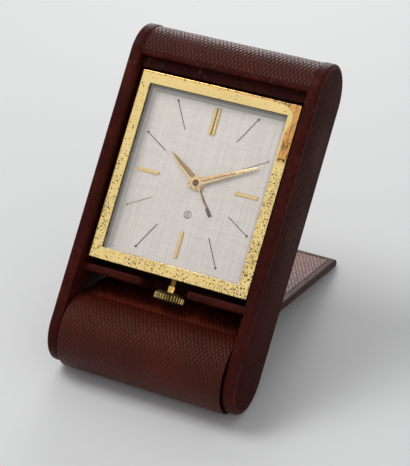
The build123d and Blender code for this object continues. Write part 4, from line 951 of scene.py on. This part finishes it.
class CLOCK_OT_cover(bpy.types.Operator):
    """The cover: one skin over the drum and the outside of the panel, with the lining under it"""

    bl_idname = "clock.cover"
    bl_label = "Cover"

    def execute(self, context):
        sizes = context.scene.clock_case
        half, length, drum = local_box("cover_leather", COVER)[1]
        lining_low, lining_high = local_box("cover_lining", COVER)
        bm = bmesh.new()
        bmesh.ops.create_cone(bm, cap_ends=True, segments=128, radius1=drum, radius2=drum, depth=2 * half,
                              matrix=Matrix.Rotation(math.radians(90), 4, "Y"))
        bevel(bm, edges_at(bm, 0, half) + edges_at(bm, 0, -half), sizes.soft_edge, 4)
        bmesh.ops.subdivide_edges(bm, edges=edges_along(bm.verts, 0), cuts=8)
        grain_map(bm, lambda point: (point.x, drum * math.atan2(point.y, point.z)))
        for face in bm.faces:
            face.material_index = int(abs(face.normal.x) > 0.7)
        new_mesh_piece("drum_skin", bm, COVER, "cover", ("Grained leather", "Smooth leather"),
                       nodes=("cover_leather",))

        bm = bmesh.new()
        block(bm, (-half, 0, lining_low.z), (half, length, drum))
        far = [edge for edge in bm.edges if max(vertex.co.y for vertex in edge.verts) > length - TINY]
        bevel(bm, far, (drum - lining_low.z) * PANEL_END, 5)
        top = extreme_face(bm)
        inset(bm, top, (sizes.border, 0), (sizes.crease, -sizes.crease_floor),
              (1.25 * sizes.crease, sizes.crease_rise))
        for vertex in bm.verts:
            if vertex.co.z > drum - 2 * sizes.crease_rise and vertex.co.y < 2 * sizes.border:
                vertex.co.y *= TUCK
        grain_map(bm, lambda point: point.xy)
        for face in bm.faces:
            face.material_index = 1
        top.material_index = 0
        new_mesh_piece("panel_skin", bm, COVER, "cover", ("Panel leather with painted sheen", "Smooth leather"))

        bm = bmesh.new()
        lining_low.z -= sizes.cloth_rise
        block(bm, lining_low, lining_high)
        bevel(bm, edges_at(bm, 2, lining_low.z), sizes.cloth_edge, 2)
        new_mesh_piece("panel_lining", bm, COVER, "cover", ("Lining cloth",),
                       nodes=("cover_lining",))
        return {"FINISHED"}


class CLOCK_OT_bezel(bpy.types.Operator):
    """The gilt bezel with rounded arrises and painted shade on the walls of its opening"""

    bl_idname = "clock.bezel"
    bl_label = "Bezel"

    def execute(self, context):
        sizes = context.scene.clock_sizes
        low, high = local_box("bezel", CLOCK)
        front = [corner for corner in local_points("bezel", CLOCK) if corner.z > high.z - NEAR]
        inner = [min(abs(corner[axis]) for corner in front) - sizes.bezel_lip for axis in (0, 1)]
        bm = bmesh.new()
        made = block(bm, low, high)
        bevel(bm, edges_along(made, 2), sizes.bezel_corner)
        for face in (extreme_face(bm), extreme_face(bm, -1)):
            inset(bm, face, (3 * MM, 0))
            for vertex in face.verts:
                for axis in (0, 1):
                    vertex.co[axis] = math.copysign(inner[axis], vertex.co[axis])
            bmesh.ops.remove_doubles(bm, verts=list(face.verts), dist=TINY)
        rest = [face for face in bm.faces if abs(face.normal.z) > 0.99
                and face.calc_center_median().xy.length < NEAR]
        loops = [edge for face in rest for edge in face.edges]
        bmesh.ops.delete(bm, geom=rest, context="FACES_ONLY")
        bmesh.ops.bridge_loops(bm, edges=loops)
        bmesh.ops.recalc_face_normals(bm, faces=bm.faces)
        middle = [(inner[axis] + high[axis]) / 2 for axis in (0, 1)]
        outer = [edge for edge in arrises(edges_at(bm, 2, high.z))
                 if any(abs(vertex.co[axis]) > middle[axis] for vertex in edge.verts for axis in (0, 1))]
        # Painted shade: the walls of the opening take the shaded gilt
        for face in bm.faces:
            centre = face.calc_center_median()
            if abs(face.normal.z) < 0.1 and abs(centre.x) < middle[0] and abs(centre.y) < middle[1]:
                face.material_index = 1
        bevel(bm, outer, sizes.bezel_edge, 5)
        bevel(bm, arrises(edges_at(bm, 2, high.z)), sizes.bezel_arris, 2)
        new_mesh_piece("bezel_frame", bm, CLOCK, "case", ("Bezel gilt", "Shaded gilt"),
                       sharp=50, nodes=("bezel",))
        return {"FINISHED"}


def islands_of(node, place):
    """The points of each separate solid of a CAD node, in the axes of a place."""
    bm = bmesh.new()
    bm.from_mesh(frame["nodes"][node].data)
    bmesh.ops.remove_doubles(bm, verts=bm.verts, dist=TINY)
    bmesh.ops.transform(bm, matrix=place.inverted(), verts=bm.verts)
    seen, islands = set(), []
    for vertex in bm.verts:
        heap, island = [vertex], []
        while heap:
            here = heap.pop()
            if here not in seen:
                seen.add(here)
                island.append(here.co.copy())
                heap += [edge.other_vert(here) for edge in here.link_edges]
        if island:
            islands.append(island)
    bm.free()
    return islands


class CLOCK_OT_batons(bpy.types.Operator):
    """Applied hour batons with small bevels and painted shade on the facets that face the upper right, and a strip
    of painted shade in the gap between the twin batons at twelve
    """

    bl_idname = "clock.batons"
    bl_label = "Batons"

    def execute(self, context):
        sizes = context.scene.clock_sizes
        low, high = local_box("hour_batons", CLOCK)
        islands = islands_of("hour_batons", CLOCK)
        bm = bmesh.new()
        for island in islands:
            bottom, top = box_of(island)
            made = block(bm, bottom, top)
            upper = [edge for edge in {edge for vertex in made for edge in vertex.link_edges}
                     if all(vertex.co.z > top.z - TINY for vertex in edge.verts)]
            bevel(bm, upper, sizes.baton_edge, 2)
        # Painted shade: a dark strip fills the gap between the twin batons at twelve
        twins = [point for island in islands if min(point.y for point in island) > 0 for point in island]
        gap = min(abs(point.x) for point in twins)
        start, end = (corner.y for corner in box_of(twins))
        strip = block(bm, (-gap, start, low.z), (gap, end, (low.z + high.z) / 2))
        shade_facets(bm, low.z + sizes.baton_edge / 2)
        set_finish(strip, 2)
        new_mesh_piece("hour_marks", bm, CLOCK, "case", ("Mark gilt", "Mark painted shade gilt", "Shaded gilt"),
                       sharp=20, nodes=("hour_batons",))
        return {"FINISHED"}


def blade(bm, half, base, thickness, ridge, turn):
    """A flat blade with a ridge along its middle, from one half of its outline between two middle points."""
    outline = [(-x, y) for x, y in half] + half[-2:0:-1]
    corners = [bm.verts.new((x, y, base)) for x, y in outline]
    face = bm.faces.new(corners)
    upper = list(raise_faces(bm, [face], (0, 0, thickness))[0].verts)
    middle = [vertex for vertex in upper if abs(vertex.co.x) < TINY / 10]
    bmesh.ops.connect_verts(bm, verts=middle)
    for vertex in upper:
        if vertex not in middle:
            vertex.co.z -= ridge
    mine = set(corners) | set(upper)
    bmesh.ops.recalc_face_normals(bm, faces=[item for item in bm.faces if set(item.verts) <= mine])
    bmesh.ops.rotate(bm, cent=(0, 0, 0), matrix=turn.to_3x3(), verts=list(mine))


def ring(bm, bore, radius, low, high, edge):
    """A round ring with softened upper arrises, spun from its section."""
    section = [(bore, low), (radius, low), (radius, high - edge), (radius - edge, high), (bore + edge, high),
               (bore, high - edge)]
    points = [bm.verts.new((x, 0, z)) for x, z in section]
    edges = [bm.edges.new((points[k], points[k - 1])) for k in range(len(points))]
    before = set(bm.faces)
    bmesh.ops.spin(bm, geom=points + edges, cent=(0, 0, 0), axis=(0, 0, 1), angle=2 * math.pi, steps=48,
                   use_merge=True)
    bmesh.ops.recalc_face_normals(bm, faces=[face for face in bm.faces if face not in before])


def shade_facets(bm, level):
    """Gives the facets that face the upper right a second finish, darker than their neighbours, as painted shade.
    """
    for face in bm.faces:
        if 0.3 < face.normal.z < 0.9995 and face.calc_center_median().z > level:
            face.material_index = int(face.normal.x + face.normal.y > 0)


def hand_facts(node, turn):
    """Length, lowest level, thickness, hub and bore of a CAD hand, turned back to twelve."""
    points = local_points(node, CLOCK @ turn)
    low, high = box_of(points)
    return high.y, low.z, high.z - low.z, max(high.x, -low.x), min(point.xy.length for point in points)


class CLOCK_OT_hands(bpy.types.Operator):
    """Hour and minute hands with their facets, those that face the upper right in painted shade, dark inlay and
    hub rings, and the alarm hand likewise
    """

    bl_idname = "clock.hands"
    bl_label = "Hands"

    def execute(self, context):
        sizes = context.scene.clock_sizes
        rows = (
            ("minute_hand", sizes.minute_angle, sizes.minute_width, sizes.minute_tip, sizes.minute_point,
             MINUTE_INLAY),
            ("hour_hand", sizes.hour_angle, sizes.hour_width, sizes.hour_tip, sizes.hour_point, HOUR_INLAY),
        )
        for node, angle, width, tip, point, inlay in rows:
            turn = Matrix.Rotation(-angle, 4, "Z")
            length, base, thick, hub, bore = hand_facts(node, turn)
            near, wide = bore * 1.04, hub + sizes.shoulder
            root = width * HAND_ROOT
            bm = bmesh.new()
            for half in (
                [(0, length), (tip / 2, length - point), (width / 2, wide), (root, near), (0, near)],
                [(0, -near), (sizes.tail_root, -near), (sizes.tail_end, -sizes.tail), (0, -sizes.tail)],
            ):
                blade(bm, half, base, thick, sizes.ridge, turn)
            shade_facets(bm, base + thick / 3)
            made = block(bm, (-sizes.inlay / 2, wide * 0.9, base + thick / 2),
                         (sizes.inlay / 2, length * inlay, base + thick + sizes.inlay_rise))
            bmesh.ops.rotate(bm, cent=(0, 0, 0), matrix=turn.to_3x3(), verts=made)
            set_finish(made, 2)
            ring(bm, bore, hub * 0.9, base, base + thick + sizes.hub_rise, sizes.hub_edge)
            new_mesh_piece(f"{node}_blade", bm, CLOCK, f"{node}_work",
                           ("Bright gilt", "Painted shade gilt", "Dark print"), sharp=12, nodes=(node,))

        turn = Matrix.Rotation(-sizes.alarm_angle, 4, "Z")
        length, base, thick, hub, bore = hand_facts("alarm_hand", turn)
        tip = length - sizes.alarm_tip
        bm = bmesh.new()
        rows = (sizes.alarm_width, bore * 1.02, tip), (sizes.alarm_tip_width, tip, length)
        for width, start, end in rows:
            half = [(0, end), (width / 2, end), (width / 2, start), (0, start)]
            blade(bm, half, base, thick, sizes.ridge / 2, turn)
        shade_facets(bm, base + thick / 3)
        direction = turn @ Vector((0, 1, 0))
        for face in bm.faces:
            if face.calc_center_median().dot(direction) > tip - TINY:
                face.material_index = 2
        ring(bm, bore, hub * 0.93, base, base + thick + sizes.hub_rise / 2, sizes.hub_edge)
        new_mesh_piece("alarm_hand_blade", bm, CLOCK, "alarm_hand_work",
                       ("Pale gilt", "Shaded gilt", "Dark print"), sharp=12,
                       nodes=("alarm_hand",))
        return {"FINISHED"}


class CLOCK_OT_crown(bpy.types.Operator):
    """The ribbed crown with tapered rims and its neck"""

    bl_idname = "clock.crown"
    bl_label = "Crown"

    def execute(self, context):
        sizes = context.scene.clock_sizes
        low, high = local_box("crown", CROWN)
        radius = high.x
        points = local_points("crown", CROWN)
        body_top = max(point.z for point in points if point.xy.length > radius * 0.8)
        neck = max(point.xy.length for point in points if point.z > high.z - TINY)
        taper, height, foot = sizes.crown_taper, body_top - low.z, 0.88
        bm = bmesh.new()
        rim = bmesh.ops.create_circle(bm, cap_ends=False, segments=2 * sizes.crown_ribs, radius=radius,
                                      matrix=Matrix.Translation((0, 0, low.z)))["verts"]
        groove = 1 - sizes.crown_groove / radius
        bmesh.ops.scale(bm, vec=(groove, groove, 1), verts=rim[::2])
        bmesh.ops.scale(bm, vec=(foot, foot, 1), verts=rim)
        edges = list(bm.edges)
        bmesh.ops.contextual_create(bm, geom=edges)
        for rise, factor in ((0.7 * taper, 1 / foot), (height - 2 * taper, 1.0), (1.3 * taper, 0.84)):
            edges, moved = drawn_out(bm, edges, (0, 0, rise))
            bmesh.ops.scale(bm, vec=(factor, factor, 1), verts=moved)
        bmesh.ops.contextual_create(bm, geom=edges)
        bmesh.ops.recalc_face_normals(bm, faces=bm.faces)
        middle = Matrix.Translation((0, 0, (high.z + body_top) / 2))
        collar = bmesh.ops.create_cone(bm, cap_ends=True, segments=48, radius1=neck, radius2=neck,
                                       depth=high.z - body_top, matrix=middle)["verts"]
        set_finish(collar, 1)
        bevel(bm, edges_at(bm, 2, high.z), sizes.collar_edge)
        new_mesh_piece("ribbed_crown", bm, CROWN, "winding_stem", ("Crown gilt", "Collar gilt"),
                       sharp=25, nodes=("crown",))
        return {"FINISHED"}


def stand(name, data, place, facing):
    """Puts a lamp or a camera at a place, with its back towards a direction."""
    item = bpy.data.objects.new(name, data)
    item.location = place
    item.rotation_mode = "QUATERNION"
    item.rotation_quaternion = facing.to_track_quat("Z", "Y")
    bpy.context.scene.collection.objects.link(item)
    return item


class CLOCK_OT_stage(bpy.types.Operator):
    """Floor, world, lamps and camera"""

    bl_idname = "clock.stage"
    bl_label = "Stage"

    def execute(self, context):
        scene = context.scene
        stage = scene.clock_stage
        scene.view_settings.view_transform = "Standard"
        bm = bmesh.new()
        bmesh.ops.create_grid(bm, x_segments=1, y_segments=1, size=4.0)
        mesh = bpy.data.meshes.new("floor")
        bm.to_mesh(mesh)
        bm.free()
        floor = bpy.data.objects.new("floor", mesh)
        floor.location.z = -0.02 * MM
        scene.collection.objects.link(floor)
        Finish("Floor").paint(Base_Color=opaque(scene.clock_finishes.floor), Roughness=0.55)
        mesh.materials.append(FINISH["Floor"])

        scene.world = bpy.data.worlds.new("Studio")
        scene.world.use_nodes = True
        web = Web(scene.world.node_tree)
        background = web.tree.nodes["Background"].inputs
        path = web.add("ShaderNodeLightPath").outputs
        seen = web.most(web.most(path["Is Camera Ray"], path["Is Transmission Ray"]), path["Is Glossy Ray"])
        web.feed(background["Color"], (0.86, 0.87, 0.88, 1.0))
        web.feed(background["Strength"], web.ramp(seen, 0.0, 1.0, 0.5, 0.95))

        middle = Vector((0, -5 * MM, 45 * MM))
        rows = (
            ("key", stage.key, (-0.50, -0.10, 0.85), 0.45),
            ("fill", stage.fill, (0.80, -0.60, 0.45), 0.8),
            ("back", stage.rim, (-0.33, 0.95, 0.24), 0.5),
        )
        for name, power, place, size in rows:
            lamp = bpy.data.lights.new(name, "AREA")
            lamp.energy = power
            lamp.size = size
            stand(name, lamp, middle + Vector(place), Vector(place))

        camera = bpy.data.cameras.new("camera")
        camera.sensor_fit = "HORIZONTAL"
        camera.sensor_width = 36.0
        camera.lens = stage.lens
        camera.clip_start = 0.01
        camera.clip_end = 20.0
        level = math.cos(stage.elevation)
        back = Vector((math.sin(stage.azimuth) * level, -math.cos(stage.azimuth) * level,
                       math.sin(stage.elevation)))
        target = Vector((stage.target_side, DRUM_AXIS.y, stage.target_height))
        scene.camera = stand("camera", camera, target + back * stage.distance, back)
        return {"FINISHED"}


class CLOCK_PT_panel(bpy.types.Panel):
    """Lists the clock's pieces"""

    bl_label = "Travelling clock"
    bl_idname = "CLOCK_PT_panel"
    bl_space_type = "VIEW_3D"
    bl_region_type = "UI"
    bl_category = "Clock"

    def draw(self, context):
        for operator in OPERATORS:
            self.layout.operator(operator.bl_idname)
        for name in SETTINGS:
            group = getattr(context.scene, name)
            box = self.layout.box()
            for label in group.__annotations__:
                box.prop(group, label)


SETTINGS = {"clock_case": CaseSizes, "clock_sizes": ClockSizes, "clock_finishes": Finishes,
            "clock_stage": StageSizes}
OPERATORS = (CLOCK_OT_stage, CLOCK_OT_finishes, CLOCK_OT_cheeks, CLOCK_OT_shell, CLOCK_OT_lips,
             CLOCK_OT_cover, CLOCK_OT_bezel, CLOCK_OT_batons, CLOCK_OT_hands, CLOCK_OT_crown)
CLASSES = tuple(SETTINGS.values()) + OPERATORS + (CLOCK_PT_panel,)


def register():
    for item in CLASSES:
        bpy.utils.register_class(item)
    for name, group in SETTINGS.items():
        setattr(bpy.types.Scene, name, PointerProperty(type=group))


def unregister():
    for name in SETTINGS:
        delattr(bpy.types.Scene, name)
    for item in reversed(CLASSES):
        bpy.utils.unregister_class(item)


def main():
    register()
    bpy.ops.clock.stage()
    bpy.ops.clock.finishes()
    bpy.ops.clock.cheeks()
    bpy.ops.clock.shell()
    bpy.ops.clock.lips()
    bpy.ops.clock.cover()
    bpy.ops.clock.bezel()
    bpy.ops.clock.batons()
    bpy.ops.clock.hands()
    bpy.ops.clock.crown()


if __name__ == "__main__":
    main()
